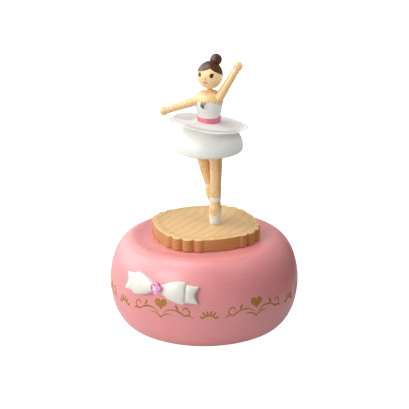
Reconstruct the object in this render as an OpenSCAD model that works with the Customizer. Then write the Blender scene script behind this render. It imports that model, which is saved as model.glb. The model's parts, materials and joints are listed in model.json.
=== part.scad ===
// Ballerina jewellery box: a turned wooden body with a felted foot, a lined tray cup let into its top,
// and a wind-up musical movement below the tray. A scalloped plate with a wooden dancer closes the tray,
// turns while the music plays and lifts off its spindle to open the tray.
// Millimetres, +Z up. The origin is the centre of the felt face that the box stands on.

/* [Turned body] */
// Largest radius of the body
body_r = 51; // [50:0.5:53]
// Height of the widest circle of the body
belly_z = 25.3; // [24.5:0.1:26.5]
// Radius that the lower belly curves in to at the table
foot_r = 36.6; // [36.6:0.1:38]
// Height of the crest around the plate
crest_z = 50; // [49.8:0.1:50.3]
// Radius of the crest
crest_r = 38; // [37:0.1:38.5]
// Squareness of the shoulder curve, 2 is an ellipse
shoulder_power = 2; // [1.95:0.05:2.1]
// Squareness of the lower belly curve
belly_power = 2; // [1.9:0.05:2.2]

/* [Tray and cavity] */
// Inner radius of the jewellery tray cup
tray_r = 25; // [24:0.25:25.5]
// Height of the wooden tray floor
tray_floor_z = 33.5; // [33.3:0.1:34]
// Thickness of the velvet lining
lining_t = 0.8; // [0.6:0.1:1]
// Radius of the cavity that holds the movement
cavity_r = 32.5; // [32:0.1:33]
// Height of the cavity roof
cavity_top_z = 30.5; // [30.3:0.1:30.8]
// Thickness of the bottom board
board_t = 4; // [4:0.1:4]
// Thickness of the felt under the box
felt_t = 0.8; // [0.8:0.1:0.8]

/* [Turning plate] */
// Height of the underside of the plate
plate_z = 49.5; // [49.5:0.1:49.8]
// Thickness of the plate
plate_t = 6.8; // [6.5:0.1:7]
// Radius of the plate at the middle of a long edge
plate_flat_r = 27.9; // [27.6:0.1:28.4]
// Radius of curvature of a long edge
plate_edge_r = 40; // [38:0.5:44]
// Direction of the first lobed corner
plate_turn = -26; // [-45:0.1:45]
// How far the plate's outline is off the spindle, to the right and to the back
plate_shift = [0.9, 1.3]; // [0:0.1:1.4]

/* [Movement] */
// Distance of the spring barrel from the spindle
barrel_x = 14; // [14:0.1:14]
// Tooth size of the barrel wheels
wheel_module = 0.7; // [0.7:0.01:0.7]
// Teeth of each barrel wheel
barrel_teeth = 28; // [28:1:28]
// Teeth of the spindle gear
spindle_teeth = 12; // [12:1:12]
// Teeth of the contrate wheel on the music cylinder
contrate_teeth = 14; // [14:1:14]
// Tooth size of the governor wheels
fine_module = 0.5; // [0.5:0.01:0.5]
// Teeth of the wheel at the end of the cylinder
cylinder_teeth = 24; // [24:1:24]
// Teeth of the governor pinion
pinion_teeth = 8; // [8:1:8]
// Teeth of the worm wheel
worm_wheel_teeth = 20; // [20:1:20]
// Tooth size of the worm wheel
worm_module = 0.4; // [0.4:0.01:0.4]
// Number of notes, one comb tooth each
notes = 18; // [18:1:18]
// Radius of the music cylinder
cylinder_r = 5.2; // [5:0.1:5.2]
// Height of the cylinder axis
cylinder_z = 18.1; // [18.1:0.1:18.1]

/* [Dancer] */
// Place of the standing toe on the plate
toe_x = 5.95; // [5:0.05:6.5]
// Place of the middle of the skirt, left to right
dancer_x = 2.3; // [2:0.1:2.6]
// Place of the dancer, front to back
dancer_y = -1.2; // [-1.5:0.1:-1]
// Largest radius of the wooden skirt
skirt_r = 18.6; // [18:0.1:19]
// Radius of the lower tulle sheet
tutu_lower_r = 21; // [20:0.1:22]
// Radius of the upper tulle sheet
tutu_upper_r = 18.2; // [17.5:0.1:18.5]
// Radius of the head
head_r = 6.9; // [6.7:0.1:7]
// Height of the head over its width
head_tall = 1.1; // [1:0.01:1.12]

/* [Bow] */
// Direction of the bow's knot, from straight ahead
bow_turn = -28.5; // [-32:0.5:-25]
// Height of the knot
bow_z = 36; // [35:0.1:37]
// Slope of the bow, its left end is the higher one
bow_tilt = 2; // [0:0.5:16]
// Thickness of the bow
bow_t = 4.2; // [3.5:0.1:4.5]
// How far the ends of the bow droop
bow_droop = 1; // [0:0.1:1.2]

/* [Hidden] */
$fn = 64;
fit_gap = 0.05;          // radial clearance of a shaft that turns in a hole
seat_gap = 0.1;          // clearance under a turning shoulder
shell_gap = 0.2;         // clearance of a piece laid in a recess
eps = 0.01;

board_z = felt_t;
board_top = board_z + board_t;
rebate_r = 37;
ledge_z = plate_z - 0.3;
dish_r = 31.6;
cup_wall = 2;
cup_bore_r = tray_r + cup_wall + 0.1;
web_hole_r = 4.6;
profile_step = 6;
foot_angle = asin(pow(1 - felt_t / belly_z, belly_power / 2));

bed_z = 9.6;
bed_t = 1.6;
bed_top = bed_z + bed_t;
bed_x = [-25.5, 25];
bed_y = [-15, 16];
pillar_r = 2.2;
pillar_xy = [[-22.5, -12], [-22.5, 13], [22, -12], [22, 13]];
key_well_r = 10.5;
case_screw_r = 34.8;
screw_r = 0.8;

arbor_r = 1.6;
barrel_r = 8.3;
barrel_wall = 0.8;
barrel_wheel_z = 12.2;
barrel_floor_z = 14.2;
barrel_cover_z = 23.6;
top_wheel_z = 25;
wheel_t = 2;
bridge_z = 27.5;
bridge_t = 1.2;
post_y = 13;
barrel_wheel_r = barrel_teeth * wheel_module / 2;
spindle_gear_r = spindle_teeth * wheel_module / 2;
contrate_r = contrate_teeth * wheel_module / 2;
contrate_pitch_x = -barrel_x + barrel_wheel_r;
ratchet_z = 8.3;
ratchet_t = 1;
ratchet_teeth = 24;
ratchet_tip_r = 5;
ratchet_root_r = 4.2;
click_pivot = [6.4, -5];

journal_r = 0.9;
left_bracket_x = -1.9;
bracket_t = 1.2;
drum_x = [-0.3, 12.3];
right_bracket_x = 13;
bracket_screw_x = 15.6;
end_wheel_x = 14.6;
end_wheel_t = 1.6;
cylinder_wheel_r = cylinder_teeth * fine_module / 2;
pinion_r = pinion_teeth * fine_module / 2;
governor_y = cylinder_wheel_r + pinion_r;
governor_journal_r = 0.6;
worm_wheel_x = 18.2;
worm_wheel_t = 1.5;
worm_wheel_r = worm_wheel_teeth * worm_module / 2;
worm_r = 1.2;
worm_x = worm_wheel_x + worm_wheel_t / 2;
worm_y = governor_y + worm_wheel_r + worm_r;
worm_z = [14.7, 21.3];
worm_journal_r = 0.45;
cheek_x = 21.4;
cock_top_z = 23.2;
track_pitch = (drum_x[1] - drum_x[0] - 0.8) / notes;
pins_per_track = 5;
pin_h = 0.65;
pin_r = 0.17;
comb_z = 17.6;
comb_t = 1;
comb_tip_y = -(cylinder_r + pin_h + 0.3);
comb_root_y = -10.8;
comb_back_y = -14.4;

spindle_r = 2;
post_r = 4.5;
post_top_z = 47;
seat_r = 8;
seat_z = post_top_z + seat_gap;
seat_top = 48.4;
square_w = 5;
hub_z = seat_top + seat_gap;
hub_r = 10;
hub_t = 1.5;
boss_r = 4.5;
boss_top = 54;

plate_top = plate_z + plate_t;
skirt_z = 98;
skirt_widest_z = 99.6;
skirt_top_z = 113.2;
skirt_power = 2.42;
skirt_foot_r = 15.8;
waist_z = 114.6;
torso_bottom_z = 113.4;
neck_r = 1.45;
head_pos = [3.1, dancer_y, 140.2];
bun_pos = [6.3, 0.2, 148.4];
left_shoulder = [-3.4, -3, 126.7];
left_hand = [-21.4, -2, 120.4];
right_shoulder = [8.1, -5.2, 128.9];
right_hand = [18.1, -3.5, 145.7];
hip = [-1.8, 1.6, 99.5];
raised_ankle = [2.9, 4.6, 77.5];
raised_toe = [6, 4.5, 65.5];
arm_r = 2.45;
wrist_r = 1.6;
hand_r = 2.35;
bow_back_r = 50.3;

// ---- shared shapes ----

function polar(r, a) = [r * cos(a), r * sin(a)];
function degrees(radians) = radians * 180 / PI;

// A point on a superellipse quarter from [wide, level] to [narrow, tip]
function bulge(wide, narrow, level, tip, a, power) =
    [narrow + (wide - narrow) * pow(cos(a), 2 / power), level + (tip - level) * pow(sin(a), 2 / power)];

// Involute gear outline with some backlash, its first tooth centred on +X
pressure_angle = 20;
function involute(a) = degrees(tan(a)) - a;
function tooth_half_angle(r, base_r, n, play) =
    90 / n - play + involute(pressure_angle) - involute(acos(min(1, base_r / r)));
function tooth_flank(n, m, play, tip) =
    let (base_r = n * m / 2 * cos(pressure_angle),
         low = max(base_r, n * m / 2 - 1.25 * m),
         high = n * m / 2 + tip * m)
    concat([[n * m / 2 - 1.25 * m, tooth_half_angle(low, base_r, n, play)]],
        [for (i = [0:3]) let (r = low + (high - low) * i / 3) [r, tooth_half_angle(r, base_r, n, play)]]);
module gear(n, m, h, bore, play = 0.05, tip = 0.8) {
    flank = tooth_flank(n, m, degrees(play / (n * m / 2)), tip);
    last = len(flank) - 1;
    linear_extrude(h) difference() {
        polygon([for (i = [0:n - 1]) each concat(
            [for (p = flank) polar(p[0], 360 * i / n - p[1])],
            [for (k = [0:last]) polar(flank[last - k][0], 360 * i / n + flank[last - k][1])])]);
        circle(bore);
    }
}

// Puts a shape built along +Z at p, pointing at q
module aim(p, q) {
    d = q - p;
    translate(p) rotate([0, acos(d[2] / norm(d)), atan2(d[1], d[0])]) children();
}

// Plate with round corners between two corners of a rectangle
module rounded_plate(x, y, r, h) {
    linear_extrude(h) {
        translate([x[0] + r, y[0]]) square([x[1] - x[0] - 2 * r, y[1] - y[0]]);
        translate([x[0], y[0] + r]) square([x[1] - x[0], y[1] - y[0] - 2 * r]);
        for (cx = [x[0] + r, x[1] - r], cy = [y[0] + r, y[1] - r]) translate([cx, cy]) circle(r);
    }
}

// Cheese-headed screw, its head's underside at the origin and its shank pointing down
module cheese_screw(shank_r, length, head_r, head_h) {
    difference() {
        union() {
            cylinder(h = head_h, r = head_r);
            translate([0, 0, -length]) cylinder(h = length + eps, r = shank_r);
        }
        translate([-head_r, -0.2, head_h * 0.55]) cube([2 * head_r, 0.4, head_h]);
    }
}

// Countersunk screw pointing up, its flat head face at the origin
module countersunk_screw(shank_r, length, head_r) {
    difference() {
        union() {
            cylinder(h = head_r - shank_r, r1 = head_r, r2 = shank_r);
            cylinder(h = length, r = shank_r);
        }
        translate([-head_r, -0.2, -eps]) cube([2 * head_r, 0.4, 0.6]);
    }
}

module at_barrel() {
    translate([-barrel_x, 0, 0]) children();
}

// Puts a shape built along +Z onto the music cylinder's axis, +Z becoming +X
module along_cylinder(x, y = 0) {
    translate([x, y, cylinder_z]) rotate([90, 0, 90]) children();
}

module case_screw_places() {
    for (a = [45:90:315]) rotate(a) translate([case_screw_r, 0, 0]) children();
}

module pillar_places() {
    for (p = pillar_xy) translate([p[0], p[1], 0]) children();
}

// ---- turned body and what is fixed to it ----

flank = concat(
    [for (i = [0:10]) bulge(body_r, foot_r, belly_z, 0, foot_angle * (1 - i / 10), belly_power)],
    [for (a = [profile_step:profile_step:90]) bulge(body_r, crest_r, belly_z, crest_z, a, shoulder_power)]);

body_outline = concat([[rebate_r, board_z]], flank,
    [for (i = [1:6]) [crest_r - (crest_r - dish_r) * i / 6, ledge_z + (crest_z - ledge_z) * (1 + cos(30 * i)) / 2]],
    [[cup_bore_r, ledge_z], [cup_bore_r, cavity_top_z], [cavity_r, cavity_top_z], [cavity_r, board_top],
     [rebate_r, board_top]]);

module base_body() {
    color("#eb9698") difference() {
        rotate_extrude($fn = 180) polygon(body_outline);
        case_screw_places() translate([0, 0, board_top - eps]) cylinder(h = 8, r = 1.05);
    }
}

// Turned cup glued into the body, its floor closes the cavity of the movement
module tray_cup() {
    outer = tray_r + cup_wall;
    color("burlywood") rotate_extrude($fn = 128)
        polygon([[web_hole_r, cavity_top_z], [outer, cavity_top_z], [outer, ledge_z], [tray_r, ledge_z],
            [tray_r, tray_floor_z], [web_hole_r, tray_floor_z]]);
}

module bottom_board() {
    color("burlywood") difference() {
        translate([0, 0, board_z]) cylinder(h = board_t, r = rebate_r - shell_gap, $fn = 128);
        at_barrel() translate([0, 0, board_z - eps]) cylinder(h = board_t + 1, r = key_well_r);
        case_screw_places() translate([0, 0, board_z - eps]) {
            cylinder(h = board_t + 1, r = 1.05);
            cylinder(h = 1.1, r1 = 2.15, r2 = 1.05);
        }
        pillar_places() translate([0, 0, board_z - eps]) {
            cylinder(h = board_t + 1, r = 1.05);
            cylinder(h = 1.1, r1 = 2.15, r2 = 1.05);
        }
    }
}

module base_felt() {
    color("dimgray") difference() {
        cylinder(h = felt_t, r = 38.5, $fn = 128);
        at_barrel() translate([0, 0, -eps]) cylinder(h = 1, r = key_well_r + 0.4);
    }
}

module case_screws() {
    color("silver") case_screw_places() translate([0, 0, board_z]) countersunk_screw(1, 10, 2);
}

module compartment_lining() {
    inner = tray_r - 0.1 - lining_t;
    top = ledge_z - 0.6;
    color("#8c1f3a") rotate_extrude($fn = 128)
        polygon([[post_r + 0.1, tray_floor_z], [tray_r - 0.1, tray_floor_z], [tray_r - 0.1, top],
            [inner, top], [inner, tray_floor_z + lining_t], [post_r + 0.1, tray_floor_z + lining_t]]);
}

// Brass post through the tray floor: bearing of the spindle and stop of the turning plate
module centre_post() {
    color("gold") difference() {
        union() {
            translate([0, 0, cavity_top_z - 1.2]) cylinder(h = 1.2, r = 8);
            translate([0, 0, cavity_top_z - 1.2]) cylinder(h = post_top_z - cavity_top_z + 1.2, r = post_r);
        }
        translate([0, 0, cavity_top_z - 2]) cylinder(h = 30, r = spindle_r + fit_gap);
    }
}

// ---- bow ----

// Puts a shape built flat on the XY plane onto the body's flank, turned a along the bow's length
module on_bow(a, out = 0) {
    rotate(bow_turn) translate([0, 0, bow_z - bow_droop * pow(a / 25, 2)]) rotate([0, bow_tilt, 0]) rotate(a)
        translate([0, -bow_back_r - out, 0]) rotate([90, 0, 0]) children();
}

module bow_half(side) {
    on_bow(side * 8.9) linear_extrude(bow_t)
        polygon([[-side * 7.2, -2.3], [-side * 7.2, 2.3], [-side * 3, 3.7], [side * 2, 4.9], [side * 5.4, 5.3],
            [side * 6.8, 5.2], [side * 7.2, 0], [side * 6.8, -5.2], [side * 5.4, -5.3], [side * 2, -4.9],
            [-side * 3, -3.7]]);
    on_bow(side * 19.2) linear_extrude(bow_t - 0.8)
        polygon([[-side * 3.4, -4.2], [-side * 3.4, 4.2], [side * 2.2, 4.4], [side * 4.8, 4.7], [side * 3.4, 1.6],
            [side * 3.2, 0], [side * 3.4, -1.6], [side * 4.8, -4.7], [side * 2.2, -4.4]]);
}

// Its back is hollowed to the body's flank and its knot has a round seat for the stone's setting
module bow_ribbon() {
    color("ivory") difference() {
        union() {
            bow_half(-1);
            bow_half(1);
            on_bow(0) linear_extrude(bow_t) square([5, 5.4], center = true);
        }
        rotate_extrude($fn = 180) polygon(concat([[0, flank[0][1]]], [for (p = flank) [p[0] + 0.03, p[1]]],
            [[0, crest_z]]));
        on_bow(0, bow_t) cylinder(h = 3, r = 3.15);
    }
}

module bow_setting() {
    color("hotpink") on_bow(0, bow_t + 0.02) difference() {
        cylinder(h = 1.2, r1 = 3.1, r2 = 2.8);
        translate([0, 0, 0.3]) cylinder(h = 2, r = 2.45);
    }
}

module bow_crystal() {
    color("pink") on_bow(0, bow_t + 0.4) {
        cylinder(h = 0.8, r = 2.4);
        translate([0, 0, 0.8]) cylinder(h = 1, r1 = 2.4, r2 = 1.3);
    }
}

// ---- frame of the movement ----

module bedplate() {
    color("lightgray") difference() {
        translate([0, 0, bed_z]) rounded_plate(bed_x, bed_y, 3, bed_t);
        at_barrel() translate([0, 0, bed_z - 1]) cylinder(h = 4, r = arbor_r + fit_gap);
        pillar_places() translate([0, 0, bed_z - 1]) cylinder(h = 4, r = 1.05);
    }
}

module bed_pillars() {
    color("silver") pillar_places() translate([0, 0, board_top]) difference() {
        cylinder(h = bed_z - board_top, r = pillar_r);
        translate([0, 0, -1]) cylinder(h = 10, r = 1.05);
    }
}

module pillar_screws() {
    color("silver") pillar_places() translate([0, 0, board_z]) countersunk_screw(1, bed_top - 0.1 - board_z, 2);
}

module barrel_bridge() {
    color("lightgray") at_barrel() difference() {
        union() {
            translate([-2.5, -post_y - 2, bridge_z]) cube([5, 2 * post_y + 4, bridge_t]);
            for (s = [-1, 1]) translate([0, s * post_y, bed_top]) cylinder(h = bridge_z - bed_top + eps, r = 1.9);
        }
        translate([0, 0, bridge_z - 1]) cylinder(h = 4, r = 1.2 + fit_gap);
        for (s = [-1, 1]) translate([0, s * post_y, bridge_z - 3]) cylinder(h = 6, r = screw_r + 0.02);
    }
}

module left_bracket() {
    color("lightgray") difference() {
        union() {
            translate([left_bracket_x, -3.5, bed_top]) cube([bracket_t, 7, 9.6]);
            for (s = [-1, 1]) translate([left_bracket_x, s * 6 - 3.4, bed_top]) cube([bracket_t, 6.8, 1.5]);
            for (s = [-1, 1]) translate([left_bracket_x, s * 7.9 - 1.5, bed_top]) cube([3.6, 3, 1.5]);
        }
        along_cylinder(left_bracket_x - 1) cylinder(h = 4, r = journal_r + fit_gap);
        for (s = [-1, 1]) translate([0.2, s * 7.9, bed_top - 1]) cylinder(h = 4, r = screw_r + 0.02);
    }
}

module right_bracket() {
    color("lightgray") difference() {
        union() {
            translate([right_bracket_x, -3.5, bed_top]) cube([bracket_t, 14, 9.6]);
            translate([right_bracket_x, -9.4, bed_top]) cube([bracket_t, 7, 1.5]);
            translate([right_bracket_x, -9.4, bed_top]) cube([3.9, 2.6, 1.5]);
            translate([right_bracket_x, 8.1, bed_top]) cube([3.9, 3.2, 1.5]);
        }
        along_cylinder(right_bracket_x - 1) cylinder(h = 4, r = journal_r + fit_gap);
        along_cylinder(right_bracket_x - 1, governor_y) cylinder(h = 4, r = governor_journal_r + fit_gap);
        for (y = [-8.1, 9.7]) translate([bracket_screw_x, y, bed_top - 1]) cylinder(h = 4, r = screw_r + 0.02);
    }
}

// C-shaped cock: right-hand bearing of the governor pinion and both bearings of the worm
module governor_cock() {
    color("lightgray") difference() {
        union() {
            translate([17.6, 5.2, bed_top]) cube([5, 9.9, 1.2]);
            translate([cheek_x, 5.2, bed_top]) cube([1.2, 9.9, cock_top_z - bed_top]);
            translate([17.6, 12, cock_top_z - 1]) cube([5, 3.1, 1]);
        }
        along_cylinder(cheek_x - 1, governor_y) cylinder(h = 4, r = governor_journal_r + fit_gap);
        translate([worm_x, worm_y, bed_top + 0.4]) cylinder(h = 2, r = worm_journal_r + fit_gap);
        translate([worm_x, worm_y, cock_top_z - 2]) cylinder(h = 4, r = worm_journal_r + fit_gap);
        translate([19.4, 6.8, bed_top - 1]) cylinder(h = 4, r = screw_r + 0.02);
    }
}

module comb_riser() {
    color("lightgray") difference() {
        translate([0.3, comb_back_y, bed_top]) cube([11.4, 3.4, comb_z - bed_top]);
        for (x = [2.6, 9.4]) translate([x, comb_back_y + 1.7, comb_z - 3]) cylinder(h = 4, r = screw_r + 0.02);
    }
}

module comb() {
    first = drum_x[0] + 0.4 + track_pitch / 2;
    color("slategray") translate([0, 0, comb_z]) difference() {
        linear_extrude(comb_t) {
            translate([0, comb_back_y]) square([12, comb_root_y - comb_back_y]);
            for (i = [0:notes - 1]) translate([first + i * track_pitch - 0.23, comb_root_y - eps])
                square([0.46, comb_tip_y - comb_root_y]);
        }
        for (x = [2.6, 9.4]) translate([x, comb_back_y + 1.7, -1]) cylinder(h = 4, r = screw_r + 0.02);
    }
}

// Ten identical screws: bridge, both brackets, governor cock and comb
module movement_screws() {
    foot_z = bed_top + 1.5;
    places = concat(
        [for (s = [-1, 1]) [-barrel_x, s * post_y, bridge_z + bridge_t]],
        [for (s = [-1, 1]) [0.2, s * 7.9, foot_z]],
        [[bracket_screw_x, -8.1, foot_z], [bracket_screw_x, 9.7, foot_z], [19.4, 6.8, bed_top + 1.2]],
        [for (x = [2.6, 9.4]) [x, comb_back_y + 1.7, comb_z + comb_t]]);
    color("silver") for (p = places) translate(p) cheese_screw(screw_r, 1.2, 1.3, 0.7);
}

// ---- click that holds the mainspring wound ----

module click_screw() {
    color("silver") at_barrel() translate([click_pivot[0], click_pivot[1], ratchet_z - 0.2]) mirror([0, 0, 1])
        cheese_screw(screw_r, bed_z - ratchet_z + 0.2, 1.5, 0.7);
}

module click_spring() {
    color("silver") at_barrel() translate([0, 0, ratchet_z + 0.1]) {
        translate([8.2, 2.4, 0]) cube([2, 2, bed_z - ratchet_z - 0.1]);
        linear_extrude(0.8) polygon([[8.1, 3.6], [8.4, 3.6], [7.9, -0.8], [7.6, -0.8]]);
    }
}

module click_pawl() {
    color("goldenrod") at_barrel() translate([0, 0, ratchet_z]) difference() {
        union() {
            linear_extrude(ratchet_t) polygon([[4.5, -0.3], [5.5, -0.3], [7.1, -3.9], [5.3, -4.1], [5, -1.4]]);
            translate(click_pivot) cylinder(h = ratchet_t, r = 1.5);
        }
        translate([click_pivot[0], click_pivot[1], -1]) cylinder(h = ratchet_t + 2, r = screw_r + fit_gap);
    }
}

// ---- winding arbor and key ----

module winding_key() {
    color("gold") at_barrel() difference() {
        union() {
            translate([0, 0, 3.4]) cylinder(h = 4.6, r = 2.9);
            translate([0, 0.9, 0]) rotate([90, 0, 0]) linear_extrude(1.8) {
                for (s = [-1, 1]) translate([s * 5.2, 3.6]) difference() {
                    circle(2.6);
                    circle(1.1);
                }
                translate([-3.4, 2.2]) square([6.8, 3]);
            }
        }
        translate([0, 0, 3]) cylinder(h = 6, r = arbor_r);
    }
}

module winding_arbor() {
    color("silver") at_barrel() {
        translate([0, 0, 3.2]) cylinder(h = 24.1, r = arbor_r);
        translate([0, 0, 27.3 - eps]) cylinder(h = 1.3, r = 1.2);
        translate([0, 0, 15.3]) cylinder(h = 8, r = 2.5);
    }
}

module ratchet_wheel() {
    step = 360 / ratchet_teeth;
    color("goldenrod") at_barrel() translate([0, 0, ratchet_z]) linear_extrude(ratchet_t) difference() {
        polygon([for (i = [0:ratchet_teeth - 1]) each
            [polar(ratchet_tip_r, i * step), polar(ratchet_root_r, (i + 1) * step - 0.5)]]);
        circle(arbor_r);
    }
}

// ---- spring barrel, which drives everything ----

module barrel_wheel() {
    color("gold") at_barrel() translate([0, 0, barrel_wheel_z]) rotate(180 / barrel_teeth)
        gear(barrel_teeth, wheel_module, wheel_t, arbor_r + fit_gap);
}

module barrel_drum() {
    color("gold") at_barrel() difference() {
        translate([0, 0, barrel_floor_z]) cylinder(h = barrel_cover_z - barrel_floor_z, r = barrel_r);
        translate([0, 0, barrel_floor_z + barrel_wall]) cylinder(h = 20, r = barrel_r - barrel_wall);
        translate([0, 0, barrel_floor_z - 1]) cylinder(h = 20, r = arbor_r + fit_gap);
    }
}

module barrel_cover() {
    color("gold") at_barrel() translate([0, 0, barrel_cover_z]) difference() {
        union() {
            cylinder(h = 0.8, r = barrel_r);
            cylinder(h = top_wheel_z - barrel_cover_z, r = 4);
        }
        translate([0, 0, -1]) cylinder(h = 20, r = arbor_r + fit_gap);
    }
}

module turntable_wheel() {
    color("gold") at_barrel() translate([0, 0, top_wheel_z])
        gear(barrel_teeth, wheel_module, wheel_t, arbor_r + fit_gap);
}

module mainspring() {
    turns = 5;
    points = 24;
    inner = 3.1;
    pitch = (barrel_r - barrel_wall - 0.35 - inner) / turns;
    color("slategray") at_barrel() translate([0, 0, 15.5]) linear_extrude(7.6) polygon(concat(
        [for (i = [0:turns * points]) polar(inner + pitch * i / points, 360 * i / points)],
        [for (i = [turns * points:-1:0]) polar(inner + 0.3 + pitch * i / points, 360 * i / points)]));
}

// ---- music cylinder ----

// Crown wheel: its teeth point along -X into the barrel wheel, and sit at the cylinder's lowest point
module contrate_wheel() {
    disc_x = contrate_pitch_x + 0.9;
    color("gold") {
        along_cylinder(disc_x) difference() {
            cylinder(h = 1, r = contrate_r + 0.8);
            translate([0, 0, -1]) cylinder(h = 4, r = journal_r);
        }
        for (i = [0:contrate_teeth - 1]) translate([0, 0, cylinder_z]) rotate([360 * i / contrate_teeth, 0, 0])
            translate([disc_x + eps, 0, -contrate_r - 0.8]) linear_extrude(1.6)
                polygon([[0, -0.46], [0, 0.46], [-0.9, 0.34], [-1.5, 0.17], [-1.5, -0.17], [-0.9, -0.34]]);
    }
}

module cylinder_arbor() {
    color("silver") along_cylinder(contrate_pitch_x + 0.9) cylinder(h = 20.1, r = journal_r);
}

module cylinder_drum() {
    color("gold") along_cylinder(drum_x[0]) difference() {
        cylinder(h = drum_x[1] - drum_x[0], r = cylinder_r);
        translate([0, 0, -1]) cylinder(h = 20, r = journal_r);
    }
}

module cylinder_pins() {
    golden_angle = 137.5;
    color("silver") for (i = [0:notes - 1], k = [0:pins_per_track - 1])
        translate([drum_x[0] + 0.4 + (i + 0.5) * track_pitch, 0, cylinder_z])
            rotate([golden_angle * i + 360 / pins_per_track * k + 20 * sin(97 * i * k), 0, 0])
                translate([0, 0, cylinder_r]) cylinder(h = pin_h, r = pin_r, $fn = 16);
}

module cylinder_wheel() {
    color("gold") along_cylinder(end_wheel_x) gear(cylinder_teeth, fine_module, end_wheel_t, journal_r, 0.04);
}

// ---- governor ----

module governor_pinion() {
    color("silver") along_cylinder(right_bracket_x - 0.3, governor_y) {
        cylinder(h = 10.2, r = governor_journal_r);
        translate([0, 0, 1.7]) rotate(180 / pinion_teeth)
            gear(pinion_teeth, fine_module, 2.1, governor_journal_r, 0.06);
    }
}

module worm_wheel() {
    color("gold") along_cylinder(worm_wheel_x, governor_y) rotate(180 / worm_wheel_teeth)
        gear(worm_wheel_teeth, worm_module, worm_wheel_t, governor_journal_r, 0.08, 0.7);
}

// Single-start worm: a round core with one tapered thread, right-handed
module worm_shaft() {
    lead = PI * worm_module;
    length = worm_z[1] - worm_z[0];
    color("silver") translate([worm_x, worm_y, 0]) {
        translate([0, 0, bed_top + 0.5]) cylinder(h = 28.3 - bed_top - 0.5, r = worm_journal_r);
        translate([0, 0, worm_z[0]])
            linear_extrude(length, twist = -360 * length / lead, slices = 64, $fn = 8)
                polygon([polar(1.45, -22), polar(1.45, 22), polar(1.1, 52), polar(0.8, 85), polar(0.8, 130),
                    polar(0.8, 180), polar(0.8, 230), polar(0.8, 275), polar(1.1, 308)]);
    }
}

module air_brake() {
    color("silver") translate([worm_x, worm_y, 23.8]) difference() {
        union() {
            cylinder(h = 4.5, r = 0.9);
            translate([-4.2, -0.2, 0]) cube([8.4, 0.4, 4.5]);
        }
        translate([0, 0, -1]) cylinder(h = 7, r = worm_journal_r);
    }
}

// ---- spindle ----

module spindle() {
    color("silver") {
        translate([0, 0, top_wheel_z - 0.2]) cylinder(h = seat_z - top_wheel_z + 0.3, r = spindle_r);
        translate([0, 0, seat_z]) cylinder(h = seat_top - seat_z, r = seat_r);
        translate([-square_w / 2, -square_w / 2, seat_top - eps]) cube([square_w, square_w, 53 - seat_top]);
    }
}

module spindle_gear() {
    color("gold") translate([0, 0, top_wheel_z]) {
        rotate(180 / spindle_teeth) gear(spindle_teeth, wheel_module, wheel_t, spindle_r + eps);
        translate([0, 0, wheel_t - eps]) difference() {
            cylinder(h = 1.9, r = 3.2);
            translate([0, 0, -1]) cylinder(h = 5, r = spindle_r + eps);
        }
    }
}

// ---- turning plate ----

module plate_outline() {
    arc_shift = plate_edge_r - plate_flat_r;
    translate(plate_shift) {
        intersection() {
            circle(29.2, $fn = 180);
            intersection_for (i = [0:3]) rotate(plate_turn + 45 + 90 * i) translate([-arc_shift, 0])
                circle(plate_edge_r, $fn = 180);
        }
        for (i = [0:3], k = [-1.5:1:1.5]) rotate(plate_turn + 90 * i + 12.2 * k)
            translate([abs(k) > 1 ? 25.2 : 26.3, 0]) circle(4.3);
    }
}

module turntable_plate() {
    color("#e6c08c") difference() {
        translate([0, 0, plate_z]) linear_extrude(plate_t) plate_outline();
        translate([0, 0, plate_z - 1]) cylinder(h = hub_z + hub_t - plate_z + 1.05, r = hub_r + 0.1);
        translate([0, 0, plate_z]) cylinder(h = boss_top - plate_z + 0.1, r = boss_r + 0.1);
        translate([toe_x, dancer_y, plate_top - 4]) cylinder(h = 6, r = 0.95);
        for (a = [90:120:330]) rotate(a) translate([7.4, 0, plate_z]) cylinder(h = 5, r = 0.85);
    }
}

module drive_hub() {
    color("gold") difference() {
        union() {
            translate([0, 0, hub_z]) cylinder(h = hub_t, r = hub_r);
            translate([0, 0, hub_z]) cylinder(h = boss_top - hub_z, r = boss_r);
        }
        translate([-square_w / 2 - 0.1, -square_w / 2 - 0.1, hub_z - 1]) cube([square_w + 0.2, square_w + 0.2, 5.8]);
        for (a = [90:120:330]) rotate(a) translate([7.4, 0, hub_z - eps]) {
            cylinder(h = 4, r = 0.85);
            cylinder(h = 0.75, r1 = 1.6, r2 = 0.85);
        }
    }
}

module hub_screws() {
    color("silver") for (a = [90:120:330]) rotate(a) translate([7.4, 0, hub_z]) countersunk_screw(0.8, 4.8, 1.5);
}

// ---- dancer ----

module toe_dowel() {
    color("silver") translate([toe_x, dancer_y, plate_top - 3.8]) cylinder(h = 8, r = 0.9);
}

leg_profile = [[0, 0], [2.4, 0], [2.85, 0.5], [3.05, 1.6], [3.3, 6.5], [3.42, 9], [3.38, 10], [3, 10.7],
    [2.72, 11.6], [2.66, 13.5], [2.72, 16.5], [2.85, 22], [3, 28], [3.2, 36], [3.25, 44.5], [0, 44.5]];

module standing_leg() {
    color("#dcb078") difference() {
        translate([toe_x, dancer_y, plate_top + 0.02]) rotate([0, 0.65, 0]) rotate_extrude() polygon(leg_profile);
        translate([toe_x, dancer_y, plate_top - 1]) cylinder(h = 6, r = 0.95);
    }
}

module raised_leg() {
    shin = norm(hip - raised_ankle);
    foot = norm(raised_ankle - raised_toe);
    color("#dcb078") {
        aim(raised_ankle, hip) rotate_extrude() polygon([[0, -2], [1.3, -1.5], [2.1, 0], [2.25, 2], [2.6, 9],
            [3.1, shin - 3], [3.1, shin], [0, shin]]);
        aim(raised_toe, raised_ankle) rotate_extrude() polygon([[0, -0.6], [1.2, -0.3], [2, 0.6], [2.5, 3],
            [2.7, 6], [2.35, 9], [1.9, foot], [0, foot]]);
    }
}

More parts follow.
